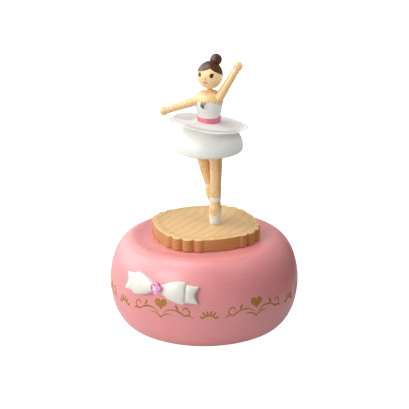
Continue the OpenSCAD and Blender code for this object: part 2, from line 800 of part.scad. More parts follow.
// Solid turned bell with two leg sockets and a socket for the waist pin
module skirt_bell() {
    color("white") difference() {
        translate([dancer_x, dancer_y, 0]) rotate_extrude($fn = 128) polygon(concat([[0, skirt_z]],
            [for (a = [90:-30:0]) bulge(skirt_r, skirt_foot_r, skirt_widest_z, skirt_z, a, 2)],
            [for (a = [7.5:7.5:90]) bulge(skirt_r, 0, skirt_widest_z, skirt_top_z, a, skirt_power)]));
        translate([toe_x, dancer_y, plate_top + 0.02]) rotate([0, 0.65, 0]) cylinder(h = 44.6, r = 3.35);
        aim(raised_ankle, hip) rotate(90) cylinder(h = norm(hip - raised_ankle) + 0.2, r = 3.25);
        translate([dancer_x, dancer_y, skirt_top_z - 4]) cylinder(h = 6, r = 2.05);
    }
}

// Round tulle sheet, tipped down to the dancer's right-hand side of the view and up in front
module tulle_ring(z, inner, outer, roll, pitch) {
    translate([dancer_x, dancer_y, z]) rotate([-pitch, roll, 0]) difference() {
        translate([0, 0, -0.2]) cylinder(h = 0.4, r = outer, $fn = 96);
        translate([0, 0, -1]) cylinder(h = 2, r = inner);
    }
}

module tutu_lower() {
    color([1, 1, 1, 0.6]) tulle_ring(113.35, 9.5, tutu_lower_r, 5, 1.5);
}

module tutu_upper() {
    color([1, 1, 1, 0.6]) tulle_ring(114.6, 6.7, tutu_upper_r, 7, 1.8);
}

module torso() {
    shoulder_z = 131.7;
    color("#dcb078") difference() {
        union() {
            translate([dancer_x + 0.3, dancer_y, 0]) rotate_extrude() polygon([[0, torso_bottom_z],
                [6.1, torso_bottom_z], [6.15, 118], [6.45, 120], [6.85, 122.3], [7.25, 125], [7.35, 126.8],
                [7.15, 128.4], [6.5, 129.7], [5.3, 130.7], [3.8, 131.3], [2.2, shoulder_z], [0, shoulder_z]]);
            translate([dancer_x, dancer_y, skirt_top_z - 3.8]) cylinder(h = 6, r = 2);
            translate([head_pos[0], dancer_y, shoulder_z - 1]) cylinder(h = 4.6, r = neck_r);
        }
        aim(left_shoulder, left_hand) translate([0, 0, -2.6]) cylinder(h = 20, r = arm_r + 0.1);
        aim(right_shoulder, right_hand) translate([0, 0, -2.6]) cylinder(h = 20, r = arm_r + 0.1);
    }
}

module waist_belt() {
    color("deeppink") translate([dancer_x + 0.3, dancer_y, waist_z]) difference() {
        cylinder(h = 3.1, r = 6.45);
        translate([0, 0, -1]) cylinder(h = 6, r = 6.2);
    }
}

module chest_crystal() {
    color("white") translate([dancer_x + 0.3, dancer_y, 125.3]) rotate(-23.5) translate([0, -7.45, 0]) rotate([90, 0, 0]) {
        cylinder(h = 0.5, r = 1.9);
        translate([0, 0, 0.5]) cylinder(h = 0.7, r1 = 1.9, r2 = 1);
    }
}

module head() {
    color("#e8c490") difference() {
        translate(head_pos) scale([1, 1, head_tall]) sphere(head_r, $fn = 96);
        translate([head_pos[0], dancer_y, 130]) cylinder(h = 5.4, r = neck_r + 0.02);
    }
}

module hair_bun() {
    color("#4a2c24") difference() {
        translate(bun_pos) sphere(3.05);
        translate(head_pos) scale([1, 1, head_tall]) sphere(head_r + 0.05, $fn = 96);
    }
}

// Turned arm with a domed shoulder and a ball for a hand, glued into the side of the torso
module arm(shoulder, hand) {
    reach = norm(hand - shoulder);
    wrist = acos(wrist_r / hand_r);
    color("#e3ba84") aim(shoulder, hand) rotate_extrude() polygon(concat(
        [for (a = [90:-15:0]) [arm_r * cos(a), -arm_r * sin(a)]],
        [for (a = [-wrist:12:84]) [hand_r * cos(a), reach + hand_r * sin(a)]],
        [[0, reach + hand_r]]));
}

module left_arm() {
    arm(left_shoulder, left_hand);
}

module right_arm() {
    arm(right_shoulder, right_hand);
}

base_body();
tray_cup();
bottom_board();
base_felt();
case_screws();
compartment_lining();
centre_post();
bow_ribbon();
bow_setting();
bow_crystal();
bedplate();
bed_pillars();
pillar_screws();
barrel_bridge();
left_bracket();
right_bracket();
governor_cock();
comb_riser();
comb();
movement_screws();
click_screw();
click_spring();
winding_key();
winding_arbor();
ratchet_wheel();
click_pawl();
barrel_wheel();
barrel_drum();
barrel_cover();
turntable_wheel();
mainspring();
contrate_wheel();
cylinder_arbor();
cylinder_drum();
cylinder_pins();
cylinder_wheel();
governor_pinion();
worm_wheel();
worm_shaft();
air_brake();
spindle();
spindle_gear();
turntable_plate();
drive_hub();
hub_screws();
toe_dowel();
standing_leg();
raised_leg();
skirt_bell();
tutu_lower();
tutu_upper();
torso();
waist_belt();
chest_crystal();
head();
hair_bun();
left_arm();
right_arm();
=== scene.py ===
"""Looks of the ballerina jewellery box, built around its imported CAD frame.

Shapes are given in millimetres and turned into metres when a mesh is made. +Z is up and the front faces -Y.
An azimuth is in degrees from straight ahead (-Y), positive towards +X.
"""
import json
import math

import bpy
import numpy as np
from mathutils import Matrix, Vector


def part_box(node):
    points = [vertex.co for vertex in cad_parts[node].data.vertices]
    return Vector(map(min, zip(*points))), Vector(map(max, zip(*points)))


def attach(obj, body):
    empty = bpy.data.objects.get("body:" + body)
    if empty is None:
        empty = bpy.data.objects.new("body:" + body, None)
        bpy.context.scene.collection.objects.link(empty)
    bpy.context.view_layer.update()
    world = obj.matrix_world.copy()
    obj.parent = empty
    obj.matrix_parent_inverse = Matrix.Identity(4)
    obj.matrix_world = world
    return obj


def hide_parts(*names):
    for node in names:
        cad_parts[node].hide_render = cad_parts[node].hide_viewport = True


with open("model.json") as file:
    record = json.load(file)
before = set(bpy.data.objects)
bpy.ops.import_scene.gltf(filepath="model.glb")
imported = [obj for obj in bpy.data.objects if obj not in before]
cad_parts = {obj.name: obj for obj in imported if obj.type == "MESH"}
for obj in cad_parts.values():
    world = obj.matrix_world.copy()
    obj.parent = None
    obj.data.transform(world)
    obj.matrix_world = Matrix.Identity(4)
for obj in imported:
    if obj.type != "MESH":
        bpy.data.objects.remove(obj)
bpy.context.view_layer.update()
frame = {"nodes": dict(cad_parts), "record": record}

MM = 0.001
rng = np.random.default_rng(7)


# ---- dimensions, from the CAD boxes where they can be read there ----

def box_mm(node):
    """Lowest and highest corner of a CAD node, in millimetres."""
    low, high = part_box(node)
    return np.array(low) / MM, np.array(high) / MM


body_low, body_high = box_mm("base_body")
BODY_R = body_high[0]
CREST_DROP = 0.45  # the crest is lower than the CAD's
CREST_Z = body_high[2] - CREST_DROP
FOOT_Z = body_low[2]
BELLY_Z = 25.3
CREST_R = 38.0
FOOT_R = 36.6
SHOULDER_POWER = 2.0
BELLY_POWER = 2.0
DISH_R = 31.6
CUP_BORE_R = 27.1
CAVITY_R = 32.5
CAVITY_TOP_Z = 30.5
REBATE_R = 37.0
BOARD_TOP_Z = box_mm("bottom_board")[1][2]
LEDGE_Z = box_mm("tray_cup")[1][2]

plate_low, plate_high = box_mm("turntable_plate")
PLATE_Z = plate_low[2]
PLATE_TOP = plate_high[2]
PLATE_TURN = -26.0
PLATE_SHIFT = np.array([0.9, 1.3])
PLATE_FLAT_R = 27.9
PLATE_EDGE_R = 40.0
PLATE_CORNER_R = 28.6
PLATE_SOFT = 0.45  # radius of its rounded edges
LOBE_R = 3.5
LOBE_STEP = 12.2
OUTER_LOBE_AT = 26.1
INNER_LOBE_AT = 27.1
HUB_R = 10.1
HUB_TOP = 50.05
BOSS_R = 4.6
BOSS_TOP = 54.1

DANCER_X = 2.3
DANCER_Y = -1.2
TORSO_X = 2.6
DANCER_TURN = -24.0
BODICE_STONE_TURN = -23.5
TOE_X = 5.95
TOE_PAINT_TOP = 9.3  # above the plate
ANKLE_BAND = 14.5
RAISED_TOE_X = 4.6
RAISED_TOE_Y = 4.5
SKIRT_R = 18.6
SKIRT_LIFT = 0.4  # its lower edge is this far above the CAD's
SKIRT_POWER = 2.42
HEAD = np.array([3.1, DANCER_Y, 140.2])
HEAD_R = 6.9
HEAD_TALL = 1.1
BUN = np.array([6.3, 0.2, 148.3])
BUN_R = 3.18
BUN_SEAT = 0.62  # share of its radius where the bun meets the head
HAIR_COAT = 0.07
NOSE_OUT = 0.46
EYE_U = 3.65  # the eyes, across and up from the middle of the face
EYE_V = 1.2

BOW_TURN = -28.5
BOW_Z = 35.25
BOW_TILT = 2.0
BOW_R = 50.3
BOW_SAG = 0.002
TAIL_FROM = 17.0  # along the bow from its knot
TAIL_REACH = 5.6


# ---- small geometry helpers ----

def polar(radius, azimuth):
    """Point at an azimuth, 0 being straight ahead."""
    a = math.radians(azimuth)
    return np.array([radius * math.sin(a), -radius * math.cos(a)])


def azimuth_of(x, y):
    """Azimuth of a direction seen from above."""
    return math.degrees(math.atan2(x, -y))


def wrapped(angle):
    """The same angle between -180 and 180."""
    return (angle + 180) % 360 - 180


def ellipse(u, v, wide, tall, count):
    """Points round an ellipse of the given half sizes."""
    turns = np.linspace(0, 2 * math.pi, count, endpoint=False)
    return [(u + wide * math.cos(t), v + tall * math.sin(t)) for t in turns]


def superellipse(wide, narrow, level, tip, angle, power):
    """Point of a superellipse quarter from (wide, level) to (narrow, tip)."""
    c, s = max(math.cos(math.radians(angle)), 0), max(math.sin(math.radians(angle)), 0)
    return narrow + (wide - narrow) * c ** (2 / power), level + (tip - level) * s ** (2 / power)


def smooth_through(points, per=6):
    """Catmull-Rom curve through points, with per steps between two of them."""
    p = np.array(points, float)
    p = np.vstack([2 * p[0] - p[1], p, 2 * p[-1] - p[-2]])
    out = []
    for i in range(1, len(p) - 2):
        for t in np.linspace(0, 1, per, endpoint=False):
            a, b, c, d = p[i - 1], p[i], p[i + 1], p[i + 2]
            out.append(0.5 * (2 * b + (c - a) * t + (2 * a - 5 * b + 4 * c - d) * t ** 2
                              + (3 * b - a - 3 * c + d) * t ** 3))
    out.append(p[-2])
    return np.array(out)


def arc(centre, radius, start, end, steps):
    """Arc of (radius, height) points, angles from the outward direction."""
    return [(centre[0] + radius * math.cos(math.radians(a)), centre[1] + radius * math.sin(math.radians(a)))
            for a in np.linspace(start, end, steps)]


def facing(point, direction):
    """Matrix that puts a shape built along +Z at a point, turned to a direction."""
    return Matrix.Translation(Vector(point)) @ Vector(direction).to_track_quat("Z", "Y").to_matrix().to_4x4()


def into_scene(name, data):
    """New object of a mesh, light or camera, linked into the scene."""
    item = bpy.data.objects.new(name, data)
    bpy.context.scene.collection.objects.link(item)
    return item


def make_piece(name, shape, materials, body, sharp=35, face_material=None):
    """Mesh object of a shape (points in mm, faces) that rides on a body, with the materials given."""
    verts, faces = shape
    mesh = bpy.data.meshes.new(name)
    mesh.from_pydata([tuple(float(c) * MM for c in v) for v in verts], [], [tuple(f) for f in faces])
    mesh.validate()
    for m in materials if isinstance(materials, (list, tuple)) else [materials]:
        mesh.materials.append(m)
    if face_material is not None:
        mesh.polygons.foreach_set("material_index", face_material)
    mesh.shade_smooth()
    mesh.set_sharp_from_angle(angle=math.radians(sharp))
    piece = into_scene(name, mesh)
    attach(piece, body)
    return piece


def loft(rings, closed_ends=True):
    """Vertices and faces of a tube through rings of equal length."""
    n = len(rings[0])
    verts = [v for ring in rings for v in ring]
    faces = []
    for i in range(len(rings) - 1):
        a, b = i * n, (i + 1) * n
        faces += [(a + j, a + (j + 1) % n, b + (j + 1) % n, b + j) for j in range(n)]
    if closed_ends:
        faces.append(tuple(range(n - 1, -1, -1)))
        faces.append(tuple(range(len(verts) - n, len(verts))))
    return verts, faces


def revolve(profile, segments=96, place=None, closed=False):
    """Vertices and faces of (radius, height) points turned about +Z; a radius of 0 is a pole."""
    verts, rows, faces = [], [], []
    for r, z in profile:
        if r < 1e-6:
            rows.append([len(verts)] * segments)
            verts.append(Vector((0, 0, z)))
        else:
            rows.append(list(range(len(verts), len(verts) + segments)))
            verts += [Vector((*polar(r, 360 * k / segments), z)) for k in range(segments)]
    pairs = list(zip(rows, rows[1:])) + ([(rows[-1], rows[0])] if closed else [])
    for low, high in pairs:
        for k in range(segments):
            corners = [low[k], low[(k + 1) % segments], high[(k + 1) % segments], high[k]]
            face = [c for i, c in enumerate(corners) if c != corners[i - 1]]
            if len(face) > 2:
                faces.append(face)
    if place is not None:
        verts = [place @ v for v in verts]
    return verts, faces


def set_mask(piece, name, values):
    """Stores one number per vertex, which a material reads as the edge of a painted area."""
    piece.data.attributes.new(name, "FLOAT", "POINT").data.foreach_set("value", np.array(values, np.float32))


# ---- materials ----

def linear(colour):
    """Linear colour of a display colour written as #rrggbb."""
    channels = [int(colour[i:i + 2], 16) for i in (1, 3, 5)]
    return tuple((c / 255 / 12.92 if c < 10.3 else ((c / 255 + 0.055) / 1.055) ** 2.4) for c in channels) + (1.0,)


def grey(value):
    """Linear grey of one value."""
    return (value,) * 3 + (1,)


class Nodes:
    """A node tree and the few patterns that the materials and the world are made of."""

    def __init__(self, tree):
        self.tree = tree

    def put(self, socket, value):
        """Links an output to a socket, or sets the socket to a number or a colour."""
        if isinstance(value, bpy.types.NodeSocket):
            self.tree.links.new(value, socket)
        else:
            socket.default_value = linear(value) if isinstance(value, str) else value

    def node(self, kind, settings=(), **inputs):
        n = self.tree.nodes.new(kind)
        for key, value in dict(settings).items():
            setattr(n, key, value)
        for key, value in inputs.items():
            self.put(n.inputs[key.replace("_", " ")], value)
        return n

    def position(self, scale=(1000, 1000, 1000), turn=(0, 0, 0)):
        """The point on the piece, in millimetres unless scaled otherwise."""
        where = self.node("ShaderNodeTexCoord").outputs["Object"]
        turned = self.node("ShaderNodeMapping", Vector=where, Rotation=[math.radians(t) for t in turn])
        return self.node("ShaderNodeMapping", Vector=turned.outputs[0], Scale=scale).outputs[0]

    def axes(self, vector):
        out = self.node("ShaderNodeSeparateXYZ", Vector=vector).outputs
        return out["X"], out["Y"], out["Z"]

    def noise(self, vector, scale=1.0, detail=3.0, roughness=0.5):
        return self.node("ShaderNodeTexNoise", Vector=vector, Scale=scale, Detail=detail,
                         Roughness=roughness).outputs["Fac"]

    def math(self, operation, a, b=0.0, c=0.0):
        n = self.node("ShaderNodeMath", {"operation": operation})
        for socket, value in zip(n.inputs, (a, b, c)):
            self.put(socket, value)
        return n.outputs[0]

    def times(self, a, b):
        return self.math("MULTIPLY", a, b)

    def plus(self, a, b):
        return self.math("ADD", a, b)

    def ramp(self, value, low, high, to_low=0.0, to_high=1.0):
        """Smooth step of a value from one range to another."""
        return self.node("ShaderNodeMapRange", {"interpolation_type": "SMOOTHSTEP"}, Value=value, From_Min=low,
                         From_Max=high, To_Min=to_low, To_Max=to_high).outputs[0]

    def mix(self, factor, a, b):
        """Mix of two colours; the colour sockets of this node share their names with its other types."""
        n = self.node("ShaderNodeMix", {"data_type": "RGBA"}, Factor=factor)
        first, second = [socket for socket in n.inputs if socket.type == "RGBA"]
        self.put(first, a)
        self.put(second, b)
        return next(socket for socket in n.outputs if socket.type == "RGBA")

    def mask(self, name):
        return self.node("ShaderNodeAttribute", {"attribute_name": name}).outputs["Fac"]


class Shader(Nodes):
    """A Principled material."""

    def __init__(self, name, **sockets):
        self.material = bpy.data.materials.new(name)
        self.material.use_nodes = True
        super().__init__(self.material.node_tree)
        self.bsdf = self.tree.nodes["Principled BSDF"]
        for key, value in sockets.items():
            self.bsdf.inputs[key.replace("_", " ")].default_value = value

    def finish(self, colour, rough=None, bump=None):
        """Wires the colour, the roughness (a noise and the range it makes) and the bump (height, mm, strength)."""
        self.base = colour
        self.put(self.bsdf.inputs["Base Color"], colour)
        if rough:
            value = self.ramp(rough[0], 0.3, 0.7, *rough[1:]) if isinstance(rough, tuple) else rough
            self.put(self.bsdf.inputs["Roughness"], value)
        if bump:
            height, depth_mm, strength = bump
            n = self.node("ShaderNodeBump", Height=height, Distance=depth_mm * MM, Strength=strength)
            self.put(self.bsdf.inputs["Normal"], n.outputs[0])
        return self.material


HAIR_LIGHT = "#583422"
HAIR_DARK = "#48281a"


def bell(s, value, middle, width):
    """Smooth bump of height 1 around a middle value."""
    off = s.math("DIVIDE", s.math("SUBTRACT", value, middle), width)
    return s.math("EXPONENT", s.times(s.times(off, off), -1.0))


def stripes(s, value, sharpness=4.0):
    """Thin lines wherever a value passes a whole number."""
    wave = s.math("SINE", s.times(value, 2 * math.pi))
    return s.math("POWER", s.math("MULTIPLY_ADD", wave, 0.5, 0.5), sharpness)


def pink_paint():
    """Satin pink on turned wood: level growth rings and streaks show through the thin paint."""
    s = Shader("pink_paint", Coat_Weight=0.5, Coat_Roughness=0.3)
    here = s.position()
    x, _, z = s.axes(here)
    drift = s.noise(here, 0.035, 2.0)
    front = bell(s, x, 2.0, 22.0)
    eyes = s.times(front, s.plus(s.times(bell(s, z, 46.0, 6.0), 3.0), s.times(bell(s, z, 11.0, 5.0), -3.0)))
    depth = s.plus(s.plus(z, s.times(drift, 3.0)), eyes)
    rings = stripes(s, s.times(depth, 0.55), 7.0)
    faint = s.noise(here, 0.05, 2.0)
    rings = s.times(rings, s.ramp(faint, 0.35, 0.7, 0.25, 1.0))
    streaks = s.noise(s.position((60, 60, 1700)), 1.0, 4.0, 0.6)
    fibre = s.ramp(streaks, 0.42, 0.75)
    pores = s.noise(s.position((350, 350, 2500)), 1.0, 2.0)
    base = s.mix(s.noise(here, 0.06, 3.0), "#f09c9d", "#ea9294")
    tone = s.mix(s.times(rings, 0.2), base, "#c46068")
    tone = s.mix(s.times(fibre, 0.16), tone, "#cd6870")
    return s.finish(tone, (pores, 0.33, 0.43), (s.plus(s.times(rings, -0.4), pores), 0.02, 0.5))


def board_wood(name, pale, dark, ring_pitch, lean, turn, gloss=0.5, grain=1.0):
    """Plain-sawn wood: rings lie nearly level, so a top shows wide curves and a side shows close lines."""
    s = Shader(name, Coat_Weight=0.1, Coat_Roughness=0.3)
    here = s.position(turn=(0, 0, turn))
    x, y, z = s.axes(here)
    drift = s.noise(here, 0.04, 2.0)
    bow = s.times(s.times(y, y), 0.0012)
    depth = s.plus(s.plus(s.times(x, lean), s.times(drift, 2.8)), s.plus(bow, z))
    rings = stripes(s, s.math("DIVIDE", depth, ring_pitch), 9.0)
    soft = stripes(s, s.math("DIVIDE", depth, ring_pitch), 1.2)
    fibre = s.noise(s.position((2600, 90, 2600), (0, 0, turn)), 1.0, 4.0, 0.65)
    tone = s.mix(s.times(soft, 0.16), pale, dark)
    patchy = s.ramp(s.noise(here, 0.09, 2.0), 0.35, 0.65, 0.3, 1.0)
    tone = s.mix(s.times(s.times(rings, patchy), 0.6 * grain), tone, dark)
    tone = s.mix(s.times(s.ramp(fibre, 0.45, 0.8), 0.25 * grain), tone, dark)
    s.finish(tone, (fibre, gloss - 0.06, gloss + 0.06), (fibre, 0.03, 0.6))
    return s


def plate_wood():
    """The turning plate: pale top, and a darker end-grained edge where the saw has toasted it."""
    s = board_wood("plate_wood", "#ecc48c", "#ce965c", 1.3, 0.25, 28, 0.42, 0.55)
    normal = s.node("ShaderNodeNewGeometry").outputs["Normal"]
    up = s.math("ABSOLUTE", s.axes(normal)[2])
    side = s.ramp(up, 0.35, 0.8, 1.0, 0.0)
    _, _, z = s.axes(s.position())
    lines = stripes(s, s.plus(s.times(z, 1.15), s.noise(s.position((90, 90, 500)), 1.0, 3.0)), 2.0)
    edge = s.mix(s.times(lines, 0.7), "#d69a5c", "#88542a")
    return s.finish(s.mix(side, s.base, edge))


def figure_wood(name="figure_wood", mask=False):
    """Lacquered pale wood with short dark flecks; a mask above 0 is white paint."""
    s = Shader(name, Coat_Weight=0.3, Coat_Roughness=0.22)
    here = s.position()
    flecks = s.noise(s.position((1900, 1900, 620)), 1.0, 3.0, 0.6)
    broad = s.noise(here, 0.16, 2.0)
    x, _, _ = s.axes(here)
    grain = stripes(s, s.plus(s.times(x, 0.35), s.times(broad, 3.0)), 3.0)
    tone = s.mix(broad, "#fddca5", "#f4c68a")
    tone = s.mix(s.times(grain, 0.24), tone, "#d29a60")
    tone = s.mix(s.times(s.ramp(flecks, 0.46, 0.72), 0.5), tone, "#c48c56")
    rough = s.ramp(flecks, 0.3, 0.7, 0.3, 0.42)
    height = flecks
    if mask:
        paint = s.ramp(s.mask("paint"), -0.06, 0.06)
        white = s.mix(s.noise(here, 0.9, 2.0), "#f3f3ef", "#e8e8e3")
        tone = s.mix(paint, tone, white)
        height = s.plus(s.times(flecks, 0.3), s.times(paint, 1.5))
    return s.finish(tone, rough, (height, 0.03, 0.6))


def white_paint():
    """Soft white paint on the turned skirt, the grain just raising it."""
    s = Shader("white_paint", Coat_Weight=0.15, Coat_Roughness=0.3)
    here = s.position()
    grain = s.noise(s.position((260, 260, 1800)), 1.0, 3.0)
    tone = s.mix(s.ramp(grain, 0.35, 0.75), "#eeefe8", "#e9eae2")
    return s.finish(tone, (s.noise(here, 0.6), 0.36, 0.44), (grain, 0.008, 0.3))


def tulle():
    """Fine net: crossing threads leave small gaps, and it looks denser where it is seen edge on. Towards its rim it
    is denser and painted greyer as shade, and all of it glows faintly white as painted light.
    """
    s = Shader("tulle", Roughness=0.8, Sheen_Weight=0.3, Sheen_Roughness=0.4)
    here = s.position(turn=(0, 0, 31))
    x, y, _ = s.axes(here)
    warp, weft = [stripes(s, s.times(along, 2.2), 2.0) for along in (x, y)]
    threads = s.math("MAXIMUM", warp, weft)
    cloud = s.noise(here, 0.12, 2.0)
    # painted shade: towards its rim the net is denser and painted a darker grey
    dense_shaded_rim = s.ramp(s.mask("out"), 0.93, 0.97)
    edge_on = s.node("ShaderNodeLayerWeight", Blend=0.35).outputs["Facing"]
    density = s.plus(s.ramp(threads, 0.0, 1.0, 0.54, 0.62), s.times(edge_on, 0.25))
    density = s.plus(density, s.times(dense_shaded_rim, 0.2))
    s.put(s.bsdf.inputs["Alpha"], density)
    # painted light: the net glows faintly white, which brightens it
    s.put(s.bsdf.inputs["Emission Color"], (1, 1, 1, 1))
    s.put(s.bsdf.inputs["Emission Strength"], s.ramp(cloud, 0.3, 0.7, 0.03, 0.05))
    return s.finish(s.mix(dense_shaded_rim, s.mix(cloud, "#ece7e4", "#e4e0dd"), "#d0cdca"), bump=(threads, 0.02, 0.3))


def satin_ribbon():
    """Woven satin, its fine cross ribs catching the light."""
    s = Shader("satin_ribbon", Sheen_Weight=0.3, Sheen_Roughness=0.3, Specular_IOR_Level=0.6)
    _, _, z = s.axes(s.position())
    weft = stripes(s, s.times(z, 3.2), 1.0)
    cloud = s.noise(s.position(), 0.5)
    tone = s.mix(s.times(weft, s.ramp(cloud, 0.2, 0.8)), "#ec8296", "#d86880")
    return s.finish(tone, (cloud, 0.32, 0.46), (weft, 0.04, 0.6))


def hair_lacquer():
    """Brown lacquer over hardly visible dents."""
    s = Shader("hair_lacquer", Coat_Weight=0.15, Coat_Roughness=0.12, Specular_IOR_Level=0.3)
    cloud = s.noise(s.position(), 0.4)
    dents = s.noise(s.position(), 1.5, 2.0)
    return s.finish(s.mix(cloud, HAIR_LIGHT, HAIR_DARK), (cloud, 0.26, 0.36), (dents, 0.02, 0.4))


def head_paint():
    """Lacquered wood face under lacquered hair, split where the hair mask passes 0."""
    s = Shader("head_paint", Coat_Weight=0.12, Coat_Roughness=0.16, Specular_IOR_Level=0.35)
    here = s.position()
    flecks = s.noise(s.position((1700, 1700, 700)), 1.0, 3.0, 0.6)
    broad = s.noise(here, 0.2, 2.0)
    skin = s.mix(broad, "#ffe6b4", "#fcd59c")
    skin = s.mix(s.times(s.ramp(flecks, 0.48, 0.74), 0.5), skin, "#c89058")
    skin = s.mix(s.times(s.mask("blush"), 0.75), skin, "#e89e70")
    hair = s.mix(broad, HAIR_LIGHT, HAIR_DARK)
    painted = s.ramp(s.mask("hair"), -0.05, 0.05)
    raised = s.times(flecks, s.math("SUBTRACT", 1.0, painted))
    return s.finish(s.mix(painted, skin, hair), s.mix(painted, grey(0.38), grey(0.27)), (raised, 0.02, 0.5))


def flat_paint(name, one, two, gloss=0.4):
    """Small hand-painted detail with slightly uneven colour."""
    s = Shader(name)
    cloud = s.noise(s.position(), 1.4)
    return s.finish(s.mix(cloud, one, two), (cloud, gloss - 0.05, gloss + 0.05))


def burnt_wood(name, pale, dark):
    """Laser-engraved wood: the beam leaves a golden brown that follows the grain."""
    s = Shader(name)
    grain = s.noise(s.position((260, 260, 2400)), 1.0, 4.0, 0.65)
    return s.finish(s.mix(s.ramp(grain, 0.38, 0.68), pale, dark), (grain, 0.6, 0.8), (grain, 0.08, 0.9))


def pearl():
    """Cream pearl lacquer with fine glitter."""
    s = Shader("pearl", Coat_Weight=0.6, Coat_Roughness=0.15)
    here = s.position()
    glitter = s.node("ShaderNodeTexVoronoi", Vector=here, Scale=2.6)
    spark = s.ramp(s.axes(glitter.outputs["Color"])[0], 0.86, 0.95)
    cloud = s.noise(here, 0.25, 2.0)
    tone = s.mix(cloud, "#edeae0", "#e1ddd1")
    return s.finish(s.mix(s.times(spark, 0.6), tone, "#fffaf0"), s.mix(spark, grey(0.4), grey(0.22)),
                    (s.noise(here, 1.6, 3.0), 0.04, 0.5))


def cut_glass(name, stops, gloss=0.06, haze=0.35):
    """Foiled cut stone: each facet is painted its own mix of the foil, a highlight and a dark, as a painted
    reflection.
    """
    s = Shader(name, Roughness=gloss, Coat_Weight=0.25, Coat_Roughness=0.03, Specular_IOR_Level=0.35)
    ramp = s.node("ShaderNodeValToRGB", Fac=s.mask("facet"))
    ramp.color_ramp.interpolation = "CONSTANT"
    while len(ramp.color_ramp.elements) < len(stops):
        ramp.color_ramp.elements.new(0.5)
    for element, (at, tone) in zip(ramp.color_ramp.elements, stops):
        element.position, element.color = at, linear(tone)
    # painted highlight: a noise hazes the facets towards the last, whitest tone
    cloud = s.noise(s.position(), 1.3, 2.0)
    return s.finish(s.mix(s.ramp(cloud, 0.3, 0.8, 0.0, haze), ramp.outputs[0], stops[-1][1]))


def metal(name, one, two, rough=0.3, streak=(300, 300, 4000), **sockets):
    """Machined metal: fine turning or rolling marks and a little tarnish."""
    s = Shader(name, Metallic=1.0, **sockets)
    marks = s.noise(s.position(streak), 1.0, 4.0, 0.6)
    tarnish = s.noise(s.position(), 0.18, 3.0)
    worn = s.plus(s.ramp(marks, 0.3, 0.7, rough - 0.06, rough + 0.08), s.ramp(tarnish, 0.4, 0.8, 0.0, 0.1))
    return s.finish(s.mix(s.ramp(tarnish, 0.35, 0.75), one, two), worn, (marks, 0.02, 0.4))


def cloth_pile(name, one, two, sheen):
    """Short pile of felt or velvet."""
    s = Shader(name, Roughness=0.95, Sheen_Weight=sheen, Sheen_Roughness=0.4)
    tufts = s.noise(s.position(), 3.2, 4.0, 0.7)
    nap = s.noise(s.position(), 0.12, 3.0)
    return s.finish(s.mix(s.math("MULTIPLY_ADD", tufts, 0.6, s.times(nap, 0.4)), one, two), bump=(tufts, 0.25, 0.8))


def fan_film():
    s = Shader("fan_film", Roughness=0.5)
    haze = s.noise(s.position(), 0.9)
    return s.finish(s.mix(haze, "#585c62", "#42464c"), bump=(haze, 0.02, 0.4))


PINK = pink_paint()
PLATE_WOOD = plate_wood()
RAW_WOOD = board_wood("raw_wood", "#e2c092", "#ba8e60", 1.6, 0.12, 70, 0.6).material
FIGURE = figure_wood()
FIGURE_PAINTED = figure_wood("figure_wood_painted", mask=True)
WHITE = white_paint()
TULLE = tulle()
SATIN = satin_ribbon()
HAIR = hair_lacquer()
HEAD_PAINT = head_paint()
ENGRAVED = burnt_wood("engraved_wood", "#be8a42", "#8c5c26")
ENGRAVED_PALE = burnt_wood("engraved_plate", "#ceb070", "#a88a4e")
PEARL = pearl()
# The stones' tones are painted reflections: dark facets, foil colours and white highlights.
PINK_STONE = cut_glass("pink_stone", [(0.0, "#f478ba"), (0.12, "#7a2c46"),
                                      (0.3, "#faa0d2"), (0.45, "#ffd6ec"),
                                      (0.62, "#f68cc8"), (0.82, "#fff6fc")])
CLEAR_STONE = cut_glass("clear_stone", [(0.0, "#704a34"), (0.16, "#966c50"),
                                        (0.32, "#343c32"), (0.44, "#2c5848"),
                                        (0.6, "#f0cee2"), (0.8, "#ffffff")], haze=0.12)
EYE_BROWN = flat_paint("eye_brown", "#4e281e", "#3c1e18", 0.25)
LIP_PINK = flat_paint("lip_pink", "#f07a8a", "#e4687c")
EYE_SHINE = flat_paint("eye_shine", "#b0846c", "#a0745e", 0.25)

BY_SLOT = {
    "painted_wood": PINK,
    "bare_wood": RAW_WOOD,
    "figure_wood": FIGURE,
    "white_paint": WHITE,
    "tulle": TULLE,
    "belt": SATIN,
    "hair": HAIR,
    "felt": cloth_pile("felt_pile", "#5c5c60", "#424246", 0.3),
    "velvet": cloth_pile("velvet_pile", "#962846", "#62142a", 0.25),
    "pearl": PEARL,
    "pink_setting": metal("pink_foil", "#fa96ce", "#ec70b4", 0.25),
    "pink_crystal": PINK_STONE,
    "clear_crystal": CLEAR_STONE,
    "brass": metal("brass", "#e2ba6c", "#be924a", 0.28),
    "plated_steel": metal("plated_steel", "#cdced0", "#a8aaae", 0.24),
    "cast_frame": metal("cast_frame", "#b0b0ae", "#8c8d8e", 0.48, (900, 900, 900)),
    "spring_steel": metal("spring_steel", "#969ca8", "#686e7c", 0.26),
    "fan": fan_film(),
}


def dress_cad_nodes():
    """Gives every CAD node the material of its slot."""
    for part in frame["record"]["subparts"]:
        mesh = frame["nodes"][part["node"]].data
        if not mesh.materials:
            mesh.materials.append(None)
        for i in range(len(mesh.materials)):
            mesh.materials[i] = BY_SLOT[part["material_slot"]]


# ---- turned body ----

def flank_profile(steps=40):
    """(radius, height) points of the body's outside, from the foot up to the crest."""
    foot_angle = math.degrees(math.asin((1 - FOOT_Z / BELLY_Z) ** (BELLY_POWER / 2)))
    lower = [superellipse(BODY_R, FOOT_R, BELLY_Z, 0, a, BELLY_POWER) for a in np.linspace(foot_angle, 0, steps)]
    upper = [superellipse(BODY_R, CREST_R, BELLY_Z, CREST_Z, a, SHOULDER_POWER)
             for a in np.linspace(0, 90, steps + 1)[1:]]
    return lower + upper


FLANK = np.array(flank_profile(120))
FLANK_LENGTH = np.concatenate([[0], np.cumsum(np.hypot(*np.diff(FLANK, axis=0).T))])


def flank_radius(z):
    return float(np.interp(z, FLANK[:, 1], FLANK[:, 0]))


